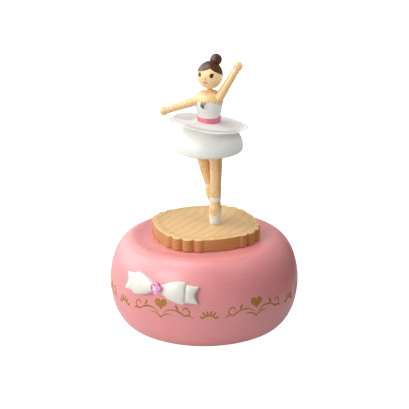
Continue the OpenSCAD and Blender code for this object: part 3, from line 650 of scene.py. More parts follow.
def on_flank(azimuth, along, out=0.0):
    """Point on the body at a length along its flank, counted up from the widest circle."""
    s = np.interp(BELLY_Z, FLANK[:, 1], FLANK_LENGTH) + along
    (r, z), (r2, z2) = [[np.interp(at, FLANK_LENGTH, FLANK[:, k]) for k in (0, 1)] for at in (s, s + 0.3)]
    length = math.hypot(r2 - r, z2 - z)
    nr, nz = (z2 - z) / length, -(r2 - r) / length
    return np.array([*polar(r + nr * out, azimuth), z + nz * out])


def build_body():
    """The pink shell: flank and the dish under the plate painted, the inside bare."""
    flank = flank_profile()
    dish = [(CREST_R - (CREST_R - DISH_R) * t, LEDGE_Z + (CREST_Z - LEDGE_Z) * (1 + math.cos(math.pi * t)) / 2)
            for t in np.linspace(0, 1, 19)[1:]]
    inside = [(CUP_BORE_R + 0.3, LEDGE_Z), (CUP_BORE_R, LEDGE_Z - 0.3), (CUP_BORE_R, CAVITY_TOP_Z),
              (CAVITY_R, CAVITY_TOP_Z), (CAVITY_R, BOARD_TOP_Z), (REBATE_R, BOARD_TOP_Z), (REBATE_R, FOOT_Z)]
    segments = 256
    verts, faces = revolve(flank + dish + inside, segments, closed=True)
    painted = (len(flank) + len(dish) + 1) * segments
    which = [0 if i < painted else 1 for i in range(len(faces))]
    body = make_piece("painted_body", (verts, faces), [PINK, RAW_WOOD], "box", 30, which)
    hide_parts("base_body")


# ---- engraved band ----

BAND_START = 3.1
BAND_REPEATS = 6
BAND_FLANK_R = 50.6
BAND_RISE = 1.2
ENGRAVE_OUT = 0.06
ENGRAVE_IN = -0.12


class Inlay:
    """Thin shapes laid on a curved surface; place(u, v, out) gives the point there."""

    def __init__(self, place):
        self.place, self.verts, self.faces = place, [], []

    def add(self, points, faces):
        """Adds points laid on the surface and the faces between them."""
        start = len(self.verts)
        self.verts += [self.place(*p) for p in points]
        self.faces += [[start + i for i in f] for f in faces]

    def stroke(self, points, widths, per=6):
        """A line through points in mm, with a width at each."""
        path = smooth_through([(*p, w) for p, w in zip(points, widths)], per)
        steps = np.gradient(path[:, :2], axis=0)
        side = np.stack([-steps[:, 1], steps[:, 0]], 1) / (np.linalg.norm(steps, axis=1)[:, None] + 1e-9)
        rings = []
        for (u, v, w), n in zip(path, side):
            w = max(w, 0.06)
            left, right = (u + n[0] * w / 2, v + n[1] * w / 2), (u - n[0] * w / 2, v - n[1] * w / 2)
            rings.append([(*left, ENGRAVE_IN), (*left, ENGRAVE_OUT), (*right, ENGRAVE_OUT), (*right, ENGRAVE_IN)])
        self.add(*loft(rings))

    def leaf(self, base, tip, width):
        """A pointed leaf from base to tip."""
        base, tip = np.array(base, float), np.array(tip, float)
        spots = [base + (tip - base) * t for t in (0, 0.25, 0.5, 0.75, 1)]
        self.stroke(spots, [width * f for f in (0.25, 0.8, 1.0, 0.7, 0.08)], 4)

    def patch(self, outline, rings=4):
        """A filled outline around its own middle."""
        outline = np.array(outline, float)
        middle = outline.mean(0)
        n = len(outline)
        levels = [[(*(middle + (p - middle) * k / rings), ENGRAVE_OUT) for p in outline] for k in range(1, rings + 1)]
        levels.append([(*p, ENGRAVE_IN) for p in outline])

        def spot(k, j):
            return 1 + k * n + j % n
        last = 1 + len(levels) * n
        faces = [[0, spot(0, j), spot(0, j + 1)] for j in range(n)]
        for k in range(len(levels) - 1):
            faces += [[spot(k, j), spot(k + 1, j), spot(k + 1, j + 1), spot(k, j + 1)] for j in range(n)]
        faces += [[last, spot(len(levels) - 1, j + 1), spot(len(levels) - 1, j)] for j in range(n)]
        self.add([(*middle, ENGRAVE_OUT), *[p for level in levels for p in level], (*middle, ENGRAVE_IN)], faces)

    def heart(self, u, v, width, height):
        t = np.linspace(0, 2 * math.pi, 40, endpoint=False)
        x = 16 * np.sin(t) ** 3
        y = 13 * np.cos(t) - 5 * np.cos(2 * t) - 2 * np.cos(3 * t) - np.cos(4 * t)
        self.patch([(u + a * width / 32, v + (b + 2.5) * height / 29) for a, b in zip(x, y)])


def scroll(inlay, side):
    """One side of the vine under a heart: stem, bud, curl and lower leaf."""
    def flip(points):
        return [(side * u, v) for u, v in points]
    inlay.stroke(flip([(1.2, -4.6), (4.2, -2.4), (8.2, -2.1), (10.9, -3.1), (13.4, -4.6), (16.0, -4.6),
                       (18.4, -6.1)]), [0.25, 0.75, 0.85, 0.85, 0.9, 0.8, 0.2])
    inlay.stroke(flip([(15.4, -4.6), (16.1, -2.6), (15.0, -0.6), (13.2, -0.5), (12.5, -1.9)]),
                 [0.5, 0.75, 0.7, 0.6, 0.35])
    inlay.stroke(flip([(9.1, -2.5), (9.4, -1.1), (8.7, 0.4), (8.9, 1.2)]), [0.5, 1.3, 1.0, 0.15])
    inlay.stroke(flip([(0.0, -7.3), (1.3, -5.9), (3.9, -4.7), (7.0, -4.9)]), [0.9, 0.75, 0.6, 0.12])


def lotus(inlay):
    """Fan of petals between two vines."""
    inlay.stroke([(-4.0, -6.2), (-2.0, -4.6), (0.0, -4.0), (2.0, -4.6), (4.0, -6.2)], [0.7, 0.95, 1.0, 0.95, 0.7])
    for side in (-1, 1):
        for base, tip, width in (((0.8, -4.2), (1.2, -1.2), 1.15), ((2.0, -4.7), (3.6, -1.9), 1.1),
                                 ((3.2, -5.6), (5.2, -4.6), 1.0)):
            inlay.leaf((side * base[0], base[1]), (side * tip[0], tip[1]), width)


def band_inlay(step):
    """Drawing surface of the band, in mm around a point so many repeats from its start."""
    azimuth = BAND_START + 360 * step / BAND_REPEATS

    def place(u, v, out):
        return on_flank(azimuth + math.degrees(u / BAND_FLANK_R), v + BAND_RISE, out)
    return Inlay(place)


def build_band():
    """Hearts, vines and petals engraved around the belly."""
    verts, faces = [], []
    for k in range(BAND_REPEATS):
        petals, vine = band_inlay(k), band_inlay(k + 0.5)
        lotus(petals)
        vine.heart(0, 0.2, 7.3, 6.3)
        scroll(vine, 1)
        scroll(vine, -1)
        for inlay in (petals, vine):
            faces += [[len(verts) + i for i in f] for f in inlay.faces]
            verts += inlay.verts
    make_piece("engraved_band", (verts, faces), ENGRAVED, "box", 40)


# ---- bow ----

def on_bow(along, up, out):
    """Point of the bow: mm along it from the knot, mm above its middle line, mm out from the body's flank."""
    turn = Matrix.Rotation(math.radians(BOW_TURN), 4, "Z") @ Matrix.Translation((0, 0, BOW_Z)) \
        @ Matrix.Rotation(math.radians(BOW_TILT), 4, "Y")
    a = along / (BOW_R + 2)
    rough = turn @ Vector((BOW_R * math.sin(a), -BOW_R * math.cos(a), up - BOW_SAG * along ** 2))
    z, r, r_up = rough.z, flank_radius(rough.z), flank_radius(rough.z + 0.5)
    lean = math.hypot(r_up - r, 0.5)
    return np.array([*polar(r + out * 0.5 / lean, azimuth_of(rough.x, rough.y)), z + out * (r - r_up) / lean])


def build_bow():
    """Soft relief of a ribbon bow: two loops, a pressed fold, and two hollow tails with notched ends."""
    spots = np.array([  # along, half height, thickness
        (0.0, 2.2, 3.0), (2.3, 2.3, 3.1), (4.2, 3.1, 3.5), (7.0, 4.3, 4.0), (10.2, 5.15, 4.25), (12.4, 5.55, 4.2),
        (14.0, 5.65, 4.0), (15.2, 5.55, 3.7), (15.9, 5.3, 2.9), (16.5, 4.9, 2.6), (17.3, 4.6, 3.0), (18.4, 4.5, 3.3),
        (20.2, 4.4, 3.4), (21.8, 4.4, 3.3), (22.4, 4.3, 3.0)])
    half = smooth_through(spots, 6)
    columns = np.vstack([half[::-1] * [-1, 1, 1], half[1:]])
    across = np.sin(np.linspace(-90, 90, 33) * math.pi / 180)
    back_out, back_wider = 0.04, 1.01
    rings = []
    for along, height, thick in columns:
        tail = np.clip((abs(along) - TAIL_FROM) / TAIL_REACH, 0, 1)

        def notched(w):
            """Place along the bow: a tail's corners reach out and its middle is cut back."""
            return along + math.copysign(1, along) * tail ** 1.5 * (2.5 * w * w - 1.7)
        ring = []
        for w in across:
            crown = max(1 - abs(w) ** 5, 0) ** 0.5 * (1 - 0.1 * w * w)
            hollow = 1.1 * tail ** 0.7 * (1 - abs(w) ** 2.5)
            ring.append(on_bow(notched(w), height * w, thick * (0.4 + 0.6 * crown) - hollow))
        ring += [on_bow(notched(w), height * w * back_wider, back_out) for w in across[::-8]]
        rings.append(ring)
    for end in (0, -1):
        middle = np.mean(rings[end], axis=0)
        softened = [p + (middle - p) * 0.05 for p in rings[end]]
        rings = [softened] + rings if end == 0 else rings + [softened]
    bow = make_piece("bow_relief", loft(rings), PEARL, "box", 60)
    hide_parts("bow_ribbon")


def cut_stone(name, radius, height, place, material, body, facets=12):
    """Round cut stone, its girdle at the origin and its table up."""
    def circle(r, z, turn=0.0):
        return [Vector((r * math.cos(a), r * math.sin(a), z))
                for a in np.linspace(0, 2 * math.pi, facets, endpoint=False) + turn]
    girdle = circle(radius, 0)
    star = circle(radius * 0.8, height * 0.55, math.pi / facets)
    table = circle(radius * 0.46, height)
    verts = girdle + star + table + [Vector((0, 0, -height * 0.6))]
    n, faces = facets, []
    for j in range(n):
        k = (j + 1) % n
        faces += [(j, k, n + j), (n + j, k, n + k), (n + j, n + k, 2 * n + k), (n + j, 2 * n + k, 2 * n + j),
                  (k, j, 3 * n)]
    faces.append(tuple(range(2 * n, 3 * n)))
    stone = make_piece(name, ([place @ v for v in verts], faces), material, body, 5)
    middles = np.array([np.mean([verts[i][:] for i in f], axis=0) for f in faces]) / radius
    # painted reflection: each facet's tone comes from where it sits on the stone, lighter towards one side, with some
    # scatter
    reflection_slope, scatter = [0.5, -0.12, 0.1], rng.uniform(-0.16, 0.16, len(faces))
    reflection_tones = np.clip(0.42 + middles @ reflection_slope + scatter, 0, 0.999)
    stone.data.attributes.new("facet", "FLOAT", "FACE").data.foreach_set("value", reflection_tones.astype(np.float32))
    return stone


def stone_place(node, azimuth):
    """Matrix at the middle of a stone's CAD node, +Z pointing out at an azimuth."""
    low, high = box_mm(node)
    return facing((low + high) / 2, (*polar(1, azimuth), 0))


def build_bow_stone():
    """Pink cut stone in its rolled foil rim, a little up and along from its CAD place."""
    place = stone_place("bow_crystal", BOW_TURN) @ Matrix.Translation((0.5, 0.9, -0.5))
    stone = cut_stone("bow_stone", 2.62, 1.25, place @ Matrix.Translation((0, 0, -0.1)), PINK_STONE,
                      "box")
    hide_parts("bow_crystal")
    profile = [(2.5, -1.6), (3.05, -1.6)] + arc((2.83, -0.15), 0.24, 0, 150, 9) + [(2.56, -0.2), (2.5, -1.5)]
    ring = make_piece("bow_stone_setting", revolve(profile, 48, place, closed=True), BY_SLOT["pink_setting"], "box",
                      40)
    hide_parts("bow_setting")


# ---- turning plate ----

def plate_radius(azimuth):
    """Edge of the plate from its own middle: four long arcs with four groups of four lobes."""
    d = polar(1, azimuth)
    shift = PLATE_EDGE_R - PLATE_FLAT_R
    reach = PLATE_CORNER_R
    for i in range(4):
        a = math.radians(PLATE_TURN + 45 + 90 * i)
        c = -shift * np.array([math.cos(a), math.sin(a)])
        reach = min(reach, c @ d + math.sqrt((c @ d) ** 2 - c @ c + PLATE_EDGE_R ** 2))
    for i in range(4):
        for k in (-1.5, -0.5, 0.5, 1.5):
            a = math.radians(PLATE_TURN + 90 * i + LOBE_STEP * k)
            c = (OUTER_LOBE_AT if abs(k) > 1 else INNER_LOBE_AT) * np.array([math.cos(a), math.sin(a)])
            under = (c @ d) ** 2 - c @ c + LOBE_R ** 2
            if c @ d > 0 and under > 0:
                reach = max(reach, c @ d + math.sqrt(under))
    return reach


def build_plate():
    """Scalloped plate with softened edges and the recess for its brass hub underneath."""
    count = 720
    azimuths = np.arange(count) * 360 / count
    edge = np.array([plate_radius(a) for a in azimuths])

    def level(radii, z, middle=PLATE_SHIFT):
        return [(*(middle + polar(r, a)), z) for r, a in zip(radii, azimuths)]
    rings = [level(np.full(count, r), z, np.zeros(2))
             for r, z in ((BOSS_R, BOSS_TOP), (BOSS_R, HUB_TOP), (HUB_R, HUB_TOP), (HUB_R, PLATE_Z))]
    rings.append(level(edge - PLATE_SOFT, PLATE_Z))
    for a in np.radians((20, 45, 70, 90)):
        rings.append(level(edge - PLATE_SOFT * (1 - math.sin(a)), PLATE_Z + PLATE_SOFT * (1 - math.cos(a))))
    for a in np.radians((0, 20, 45, 70, 90)):
        rings.append(level(edge - PLATE_SOFT * (1 - math.cos(a)), PLATE_TOP - PLATE_SOFT * (1 - math.sin(a))))
    rings += [level(edge * share, PLATE_TOP) for share in (0.9, 0.6, 0.3, 0.08)]
    plate = make_piece("scalloped_plate", loft(rings), PLATE_WOOD, "lid", 32)
    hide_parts("turntable_plate")


LACE_AT = 0.865
LACE_R = 24.5
LACE_LOOPS = 44
LACE_SWING = 0.85
LACE_HALF_THREAD = 0.13
LACE_DOTS = ((1.6, 0.32), (-1.35, 0.2))  # distance out from the wave, radius


def build_lace():
    """Fine engraved lace that follows the plate's edge: two crossing waves with a row of dots on either side."""
    def place(u, v, out):
        azimuth = math.degrees(u)
        soft_edge = np.mean([plate_radius(azimuth + d) for d in (-6, -3, 0, 3, 6)])
        return np.array([*(PLATE_SHIFT + polar(soft_edge * LACE_AT + v, azimuth)), PLATE_TOP + out * 0.4])
    inlay = Inlay(place)
    steps_per_loop, half = 8, LACE_HALF_THREAD
    for phase in (0, math.pi):
        rings = []
        for u in np.linspace(0, 2 * math.pi, LACE_LOOPS * steps_per_loop + 1):
            v = LACE_SWING * math.sin(LACE_LOOPS / 2 * u + phase)
            rings.append([(u, v - half, ENGRAVE_IN), (u, v - half, ENGRAVE_OUT), (u, v + half, ENGRAVE_OUT),
                          (u, v + half, ENGRAVE_IN)])
        inlay.add(*loft(rings))
    for k in range(LACE_LOOPS):
        u = 2 * math.pi * (k + 0.5) / LACE_LOOPS
        for v, size in LACE_DOTS:
            inlay.patch(ellipse(u, v, size / LACE_R, size, 8), 1)
    make_piece("plate_lace", (inlay.verts, inlay.faces), ENGRAVED_PALE, "lid", 40)


# ---- dancer ----

def limb_rings(path, radii, segments=40, per=8):
    """Rings of a round limb along a smooth path."""
    line = smooth_through([(*p, r) for p, r in zip(path, radii)], per)
    points = line[:, :3]
    rings = []
    for p, r, d in zip(points, line[:, 3], np.gradient(points, axis=0)):
        turn = Vector(d).to_track_quat("Z", "Y").to_matrix()
        rings.append([Vector(p) + turn @ Vector((*polar(max(r, 0.02), 360 * k / segments), 0))
                      for k in range(segments)])
    return rings


def throat(azimuth, top, depth, half_width):
    """Height of a shoe's top edge, which dips in a U over the instep."""
    return top - depth * max(0, 1 - (abs(wrapped(azimuth - DANCER_TURN)) / half_width) ** 3)


def shoe_paint(leg, verts, axis, shoe, band_z, half_band):
    """Marks the white shoe and the white ankle band of a leg whose ankle stands on an axis (x, y)."""
    paint = [max(throat(azimuth_of(v.x - axis[0], v.y - axis[1]), *shoe) - v.z, half_band - abs(v.z - band_z))
             for v in verts]
    set_mask(leg, "paint", paint)


def build_standing_leg():
    """Straight leg on the point of its shoe, leaning a little."""
    lean, top = 0.65, 44.4
    tilt = Matrix.Translation((TOE_X, DANCER_Y, PLATE_TOP + 0.02)) @ Matrix.Rotation(math.radians(lean), 4, "Y")
    outline = [(2.9, 0.45), (3.05, 1.6), (3.2, 4), (3.36, 6.5), (3.48, 8.6), (3.42, 9.8), (3.12, 10.8), (2.88, 11.8),
               (2.86, 13.5), (2.96, 16.5), (3.08, 22), (3.2, 28), (3.38, 36), (3.46, top)]
    profile = [(0, 0), (2.45, 0), (2.7, 0.12)] + smooth_through(outline, 6).tolist() + [(0, top)]
    verts, faces = revolve(profile, 64, tilt)
    leg = make_piece("standing_leg_turned", (verts, faces), FIGURE_PAINTED, "lid", 50)
    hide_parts("standing_leg")
    shoe_paint(leg, verts, (TOE_X, DANCER_Y), (PLATE_TOP + TOE_PAINT_TOP, 3.9, 62), PLATE_TOP + ANKLE_BAND, 1.2)


def build_raised_leg():
    """Bent leg: thigh from the skirt, slim ankle with a white band, and a pointed shoe."""
    hip = (-2.1, 1.6, box_mm("raised_leg")[1][2] - 0.9)
    path = [hip, (-1.2, 2.2, 95.0), (0.6, 3.4, 86.5), (2.2, 4.3, 79.3), (2.8, 4.6, 76.2), (3.5, 4.6, 73.0),
            (4.5, 4.5, 69.4), (5.5, 4.5, 66.4), (5.95, 4.5, 65.2), (6.0, 4.5, 65.0)]
    radii = [3.3, 3.25, 2.95, 2.4, 2.35, 2.75, 2.75, 2.0, 1.0, 0.05]
    verts, faces = loft(limb_rings(path, radii))
    leg = make_piece("raised_leg_turned", (verts, faces), FIGURE_PAINTED, "lid", 50)
    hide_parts("raised_leg")
    shoe_paint(leg, verts, (RAISED_TOE_X, RAISED_TOE_Y), (71.8, 2.5, 70), 76.7, 1.15)


def build_skirt():
    """Turned bell: flat underneath, a rounded lip, and a side that closes at the waist."""
    low, high = box_mm("skirt_bell")
    foot, top = low[2] + SKIRT_LIFT, high[2]
    widest = foot + 1.6
    under = [(0, foot + 0.5), (13.5, foot + 0.3)]
    lip = [superellipse(SKIRT_R, 15.8, widest, foot, a, 2) for a in np.linspace(90, 0, 12)]
    side = [superellipse(SKIRT_R, 0, widest, top, a, SKIRT_POWER) for a in np.linspace(0, 86, 40)[1:]]
    bell_shape = revolve(under + lip + side + [(0, top)], 128, Matrix.Translation((DANCER_X, DANCER_Y, 0)))
    skirt = make_piece("skirt_turned", bell_shape, WHITE, "lid", 45)
    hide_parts("skirt_bell")


def tulle_sheet(name, node, z, inner, outer, roll, pitch, edge, lift, drop):
    """Round sheet of tulle; edge and lift are waves (count round, height, phase) that grow towards its rim."""
    place = Matrix.Translation((DANCER_X, DANCER_Y, z)) @ Matrix.Rotation(math.radians(roll), 4, "Y") \
        @ Matrix.Rotation(math.radians(-pitch), 4, "X")
    segments, rows = 180, 22

    def swell(waves, t):
        return sum(height * math.sin(count * t + phase) for count, height, phase in waves)
    rings = []
    for i in range(rows + 1):
        share = i / rows
        ring = []
        for k in range(segments):
            t = 2 * math.pi * k / segments
            r = inner + (outer * (1 + swell(edge, t)) - inner) * share
            up = swell(lift, t) * share ** 1.6 - drop * share ** 2
            ring.append(place @ Vector((r * math.cos(t), r * math.sin(t), up)))
        rings.append(ring)
    sheet = make_piece(name, loft(rings, closed_ends=False), TULLE, "lid", 80)
    set_mask(sheet, "out", [i / rows for i in range(rows + 1) for _ in range(segments)])
    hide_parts(node)


def build_tutu():
    """Two tulle discs, the smaller one on top, each tilted its own way."""
    tulle_sheet("tulle_lower", "tutu_lower", 113.35, 9.5, 21.0, 6.5, 3.5, edge=[(3, 0.02, 0.6), (5, 0.012, 2.0)],
                lift=[(3, 0.35, 1.2), (5, 0.2, 0.3)], drop=0.2)
    tulle_sheet("tulle_upper", "tutu_upper", 114.6, 6.7, 18.2, 8, 3.2, edge=[(3, 0.018, 2.4), (4, 0.012, 0.5)],
                lift=[(2, 0.3, 0.4), (5, 0.15, 1.8)], drop=0.15)


NECKLINE = [(0, 125.8), (14, 126.4), (32, 127.0), (58, 125.6), (85, 124.4), (112, 126.0), (180, 125.0)]


def neckline(azimuth):
    """Height of the bodice's top edge: a shallow dip at the breastbone between two peaks, then down to the arms."""
    return float(np.interp(abs(wrapped(azimuth - DANCER_TURN)), *zip(*NECKLINE)))


def build_torso():
    """Turned torso with its neck; the bodice is white paint up to the neckline."""
    bottom, neck_top = box_mm("torso")[0][2], 134.6
    outline = smooth_through([(6.1, bottom + 0.1), (6.15, 118), (6.5, 120), (7.0, 122.3), (7.5, 125), (7.62, 126.6),
                              (7.35, 128.2), (6.6, 129.6), (5.3, 130.7), (3.8, 131.25), (2.5, 131.6),
                              (1.75, 132.0), (1.45, 132.7), (1.45, neck_top)], 6)
    profile = [(0, bottom), (6.0, bottom)] + outline.tolist() + [(0, neck_top)]
    verts, faces = revolve(profile, 128, Matrix.Translation((TORSO_X, DANCER_Y, 0)))
    torso = make_piece("torso_turned", (verts, faces), FIGURE_PAINTED, "lid", 50)
    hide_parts("torso")
    set_mask(torso, "paint", [neckline(azimuth_of(v.x - TORSO_X, v.y - DANCER_Y)) - v.z for v in verts])


def build_belt():
    low, high = box_mm("waist_belt")
    foot, top = low[2], high[2]
    front = smooth_through([(6.33, foot + 0.15), (6.37, foot + 0.8), (6.4, top - 0.8), (6.36, top - 0.15)], 4)
    belt = [(6.1, foot), (6.25, foot)] + front.tolist() + [(6.28, top), (6.1, top)]
    band = revolve(belt, 128, Matrix.Translation((TORSO_X, DANCER_Y, 0)), closed=True)
    ribbon = make_piece("waist_ribbon", band, SATIN, "lid", 60)
    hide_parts("waist_belt")


def build_bodice_stone():
    place = stone_place("chest_crystal", BODICE_STONE_TURN) @ Matrix.Translation((0, 0, -0.2))
    stone = cut_stone("bodice_stone", 1.95, 0.95, place, CLEAR_STONE, "lid", 10)
    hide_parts("chest_crystal")


def build_arm(name, node, shoulder, hand, arm_r=2.5, wrist_r=1.92, hand_r=2.35):
    """Turned arm: domed shoulder, straight taper, ball hand."""
    reach = float(np.linalg.norm(np.subtract(hand, shoulder)))
    wrist = math.degrees(math.acos(wrist_r / hand_r))
    dome = arc((0, 0), arm_r, -90, 0, 14)
    ball = arc((0, reach), hand_r, -wrist, 90, 18)
    neck = reach - hand_r * math.sin(math.radians(wrist))
    taper = [(arm_r + (wrist_r - arm_r) * t, (neck - 1.4) * t) for t in np.linspace(0, 1, 8)]
    blend = smooth_through([taper[-2], taper[-1], (wrist_r + 0.07, neck - 0.3), ball[1], ball[2]], 4)[4:-1].tolist()
    profile = [(0, -arm_r)] + dome[1:-1] + taper[:-1] + blend + ball[2:-1] + [(0, reach + hand_r)]
    turned = revolve(profile, 48, facing(shoulder, Vector(hand) - Vector(shoulder)))
    arm = make_piece(name, turned, FIGURE, "lid", 60)
    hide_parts(node)


HAIRLINE = [(-180, -28), (-140, -18), (-115, 0), (-96, 13), (-75, 20), (-60, 22.5), (-35, 28), (-18, 34), (-6, 39),
            (1, 41), (8, 35.5), (26, 24.5), (46, 15), (60, 9), (72, 4.5), (85, -5), (95, -13), (115, -20), (140, -24),
            (180, -28)]


def hairline(azimuth):
    """Elevation of the painted hair's edge round the head, with its parting peak right of the middle."""
    return float(np.interp(wrapped(azimuth), *zip(*HAIRLINE)))


def on_head(direction, out=0.0):
    """Point of the egg-shaped head in a direction, out from its surface."""
    d = np.array(direction[:])
    return HEAD + d * (HEAD_R - 0.05 + out) * [1, 1, HEAD_TALL]


def build_head():
    """Head with a small nose and with its painted hair standing just proud."""
    rows, segments = 150, 240
    profile = [(HEAD_R * math.cos(a), HEAD_R * math.sin(a)) for a in np.linspace(-math.pi / 2, math.pi / 2, rows)]
    profile[0], profile[-1] = (0, -HEAD_R), (0, HEAD_R)
    verts, faces = revolve(profile, segments)
    nose = Vector((*polar(1, DANCER_TURN + 2), -0.03)).normalized()
    shaped, hair, blush = [], [], []
    for v in verts:
        d = v.normalized()
        elevation = math.degrees(math.asin(max(-1, min(1, d.z))))
        above = math.radians(elevation - hairline(azimuth_of(d.x, d.y))) * HEAD_R
        hair.append(above)
        spread = d.angle(nose) * HEAD_R
        blush.append(math.exp(-(spread / 0.8) ** 2))
        coat = HAIR_COAT / (1 + math.exp(-above / 0.05)) if abs(above) < 2 else (HAIR_COAT if above > 0 else 0)
        shaped.append(on_head(d, NOSE_OUT * math.exp(-(spread / 0.55) ** 2) + coat))
    head = make_piece("head_painted", (shaped, faces), HEAD_PAINT, "lid", 60)
    set_mask(head, "hair", hair)
    set_mask(head, "blush", blush)
    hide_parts("head")


def face_inlay():
    """Drawing surface of the face, in mm around its middle."""
    def place(u, v, out):
        azimuth = DANCER_TURN + math.degrees(u / HEAD_R)
        elevation = v / HEAD_R
        d = [*(polar(1, azimuth) * math.cos(elevation)), math.sin(elevation)]
        return on_head(d, 0.045 if out > 0 else -0.05)
    return Inlay(place)


def build_face():
    """Painted eyes with lashes, their glints, and the mouth."""
    eyes, lips, shine = face_inlay(), face_inlay(), face_inlay()
    for side in (-1, 1):
        u, v = side * EYE_U, EYE_V
        eyes.patch(ellipse(u, v, 1.05, 1.02, 28), 3)
        eyes.stroke([(u - side * 0.7, v + 0.7), (u, v + 1.05), (u + side * 0.95, v + 0.8),
                     (u + side * 1.75, v + 0.95)], [0.15, 0.4, 0.5, 0.1])
        eyes.stroke([(u + side * 0.7, v + 0.4), (u + side * 1.15, v + 0.5), (u + side * 1.6, v + 0.55)],
                    [0.3, 0.3, 0.06])
        shine.patch(ellipse(u - 0.2, v + 0.3, 0.13, 0.15, 12), 1)
    lips.stroke([(-1.75, -2.05), (-0.9, -2.2), (0, -2.3), (0.8, -2.25), (1.6, -2.2)], [0.2, 0.5, 0.45, 0.5, 0.2])
    lips.stroke([(-1.2, -2.4), (0, -2.65), (1.2, -2.5)], [0.15, 0.6, 0.15])
    make_piece("painted_eyes", (eyes.verts, eyes.faces), EYE_BROWN, "lid", 60)
    make_piece("painted_lips", (lips.verts, lips.faces), LIP_PINK, "lid", 60)
    lift = [HEAD + (np.array(v) - HEAD) * (1 + 0.03 / HEAD_R) for v in shine.verts]
    make_piece("eye_glints", (lift, shine.faces), EYE_SHINE, "lid", 60)


def build_bun():
    """Knot of hair turned as a ball, flat where it sits on the head."""
    start = math.degrees(math.acos(BUN_SEAT))
    profile = [(0, -BUN_R * math.sin(math.radians(start)))] + arc((0, 0), BUN_R, -start, 90, 36)[:-1] + [(0, BUN_R)]
    ball = revolve(profile, 72, facing(BUN, Vector(BUN - HEAD).normalized()))
    bun = make_piece("bun_turned", ball, HAIR, "lid", 60)
    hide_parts("hair_bun")


# ---- stage, light and camera, in metres ----

AMBIENT = 0.11
FLOOR_HALF = 4.0
FLOOR_Z = -0.00005
FLOOR_GLOW = 0.17
FLOOR_SEEN_GLOW = 0.8  # added where the camera looks straight at the floor
LENS_MM = 242.3
CAMERA_AT = (0.0002, -1.405, 0.5553)
CAMERA_AIM = (0.0002, 0, 0.0669)
BOX_MIDDLE = (0, 0, 0.07)
DANCER_MIDDLE = (0, 0, 0.12)


def area_light(name, place, target, size, watts):
    """Round area light of a diameter in metres, aimed at a point."""
    data = bpy.data.lights.new(name, "AREA")
    data.shape, data.size, data.energy = "DISK", size, watts
    lamp = into_scene(name, data)
    lamp.location = place
    lamp.rotation_euler = (Vector(target) - Vector(place)).to_track_quat("-Z", "Y").to_euler()
    return lamp


def paper(name, one, two):
    """Matt grey paper, hardly mottled."""
    s = Shader(name, Roughness=0.9)
    s.finish(s.mix(s.noise(s.position((30, 30, 30)), 1.0, 2.0), grey(one), grey(two)))
    return s


def panel(name, corners, shader):
    mesh = bpy.data.meshes.new(name)
    mesh.from_pydata(corners, [], [(0, 1, 2, 3)])
    mesh.materials.append(shader.material)
    return into_scene(name, mesh)


def build_card():
    """Unseen dark card standing at the right: it keeps the floor's bounce off that side of the body."""
    x, near, far, top = 0.1, -0.2, 0.16, 0.055
    card = panel("black_card", [(x, near, 0), (x, far, 0), (x, far, top), (x, near, top)],
                 paper("card_paper", 0.012, 0.016))
    card.visible_camera = False


def build_floor():
    """White floor that glows a little, whiter still to the camera, and can be looked through from below."""
    s = paper("floor_paper", 0.6, 0.58)
    seen = s.node("ShaderNodeLightPath").outputs["Is Camera Ray"]
    s.put(s.bsdf.inputs["Emission Color"], (1, 1, 1, 1))
    s.put(s.bsdf.inputs["Emission Strength"], s.math("MULTIPLY_ADD", seen, FLOOR_SEEN_GLOW, FLOOR_GLOW))
    clear = s.node("ShaderNodeBsdfTransparent")
    under = s.node("ShaderNodeNewGeometry").outputs["Backfacing"]
    either = s.node("ShaderNodeMixShader")
    for socket, value in zip(either.inputs, (under, s.bsdf.outputs[0], clear.outputs[0])):
        s.put(socket, value)
    s.put(s.tree.nodes["Material Output"].inputs["Surface"], either.outputs[0])
    h, z = FLOOR_HALF, FLOOR_Z
    floor = panel("floor", [(-h, -h, z), (h, -h, z), (h, h, z), (-h, h, z)], s)


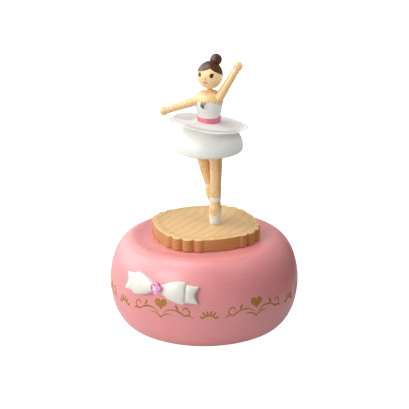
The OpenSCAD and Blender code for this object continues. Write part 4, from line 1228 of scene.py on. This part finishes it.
def build_world():
    """White backdrop; faint light all round; reflections see a studio that is brighter to the left."""
    world = bpy.data.worlds.new("studio")
    world.use_nodes = True
    w = Nodes(world.node_tree)
    rays = w.node("ShaderNodeLightPath").outputs
    left_to_right = w.axes(w.node("ShaderNodeTexCoord").outputs["Generated"])[0]
    white_wall = w.ramp(left_to_right, 0.25, -0.85, 0.15, 2.3)
    strength = w.math("MULTIPLY_ADD", rays["Is Glossy Ray"], white_wall, AMBIENT)
    background = w.tree.nodes["Background"].inputs
    w.put(background["Color"], (1, 1, 1, 1))
    w.put(background["Strength"], w.plus(strength, rays["Is Camera Ray"]))
    bpy.context.scene.world = world


def build_lights():
    """Three large soft lights from the left and above, and two small ones that only lift the dancer."""
    area_light("soft_key", (-0.8, -0.7, 0.58), BOX_MIDDLE, 0.7, 6.5)
    area_light("soft_side", (-1.05, 0.25, 0.6), BOX_MIDDLE, 0.9, 4.2)
    area_light("soft_top", (-0.5, -0.05, 1.35), BOX_MIDDLE, 1.1, 9.0)
    for lamp in (area_light("right_rim", (0.55, 0.36, 0.5), DANCER_MIDDLE, 0.45, 0.9),
                 area_light("figure_fill", (0.15, -0.1, 0.3), (0.01, 0, 0.12), 0.14, 0.25)):
        lamp.visible_glossy = False
        lamp.visible_camera = False


def build_camera():
    """Long lens, looking down at the box as a catalogue picture does."""
    data = bpy.data.cameras.new("camera")
    data.lens, data.sensor_width = LENS_MM, 36
    data.clip_start, data.clip_end = 0.05, 20
    camera = into_scene("camera", data)
    camera.location = CAMERA_AT
    camera.rotation_euler = (Vector(CAMERA_AIM) - camera.location).to_track_quat("-Z", "Y").to_euler()
    bpy.context.scene.camera = camera
    bpy.context.scene.view_settings.view_transform = "Standard"


dress_cad_nodes()
build_body()
build_band()
build_bow()
build_bow_stone()
build_plate()
build_lace()
build_standing_leg()
build_raised_leg()
build_skirt()
build_tutu()
build_torso()
build_belt()
build_bodice_stone()
build_arm("left_arm_turned", "left_arm", (-3.4, -3, 126.7), (-21.4, -2, 120.4))
build_arm("right_arm_turned", "right_arm", (8.1, -5.2, 128.9), (18.1, -3.5, 145.7))
build_head()
build_face()
build_bun()
build_floor()
build_card()
build_world()
build_lights()
build_camera()
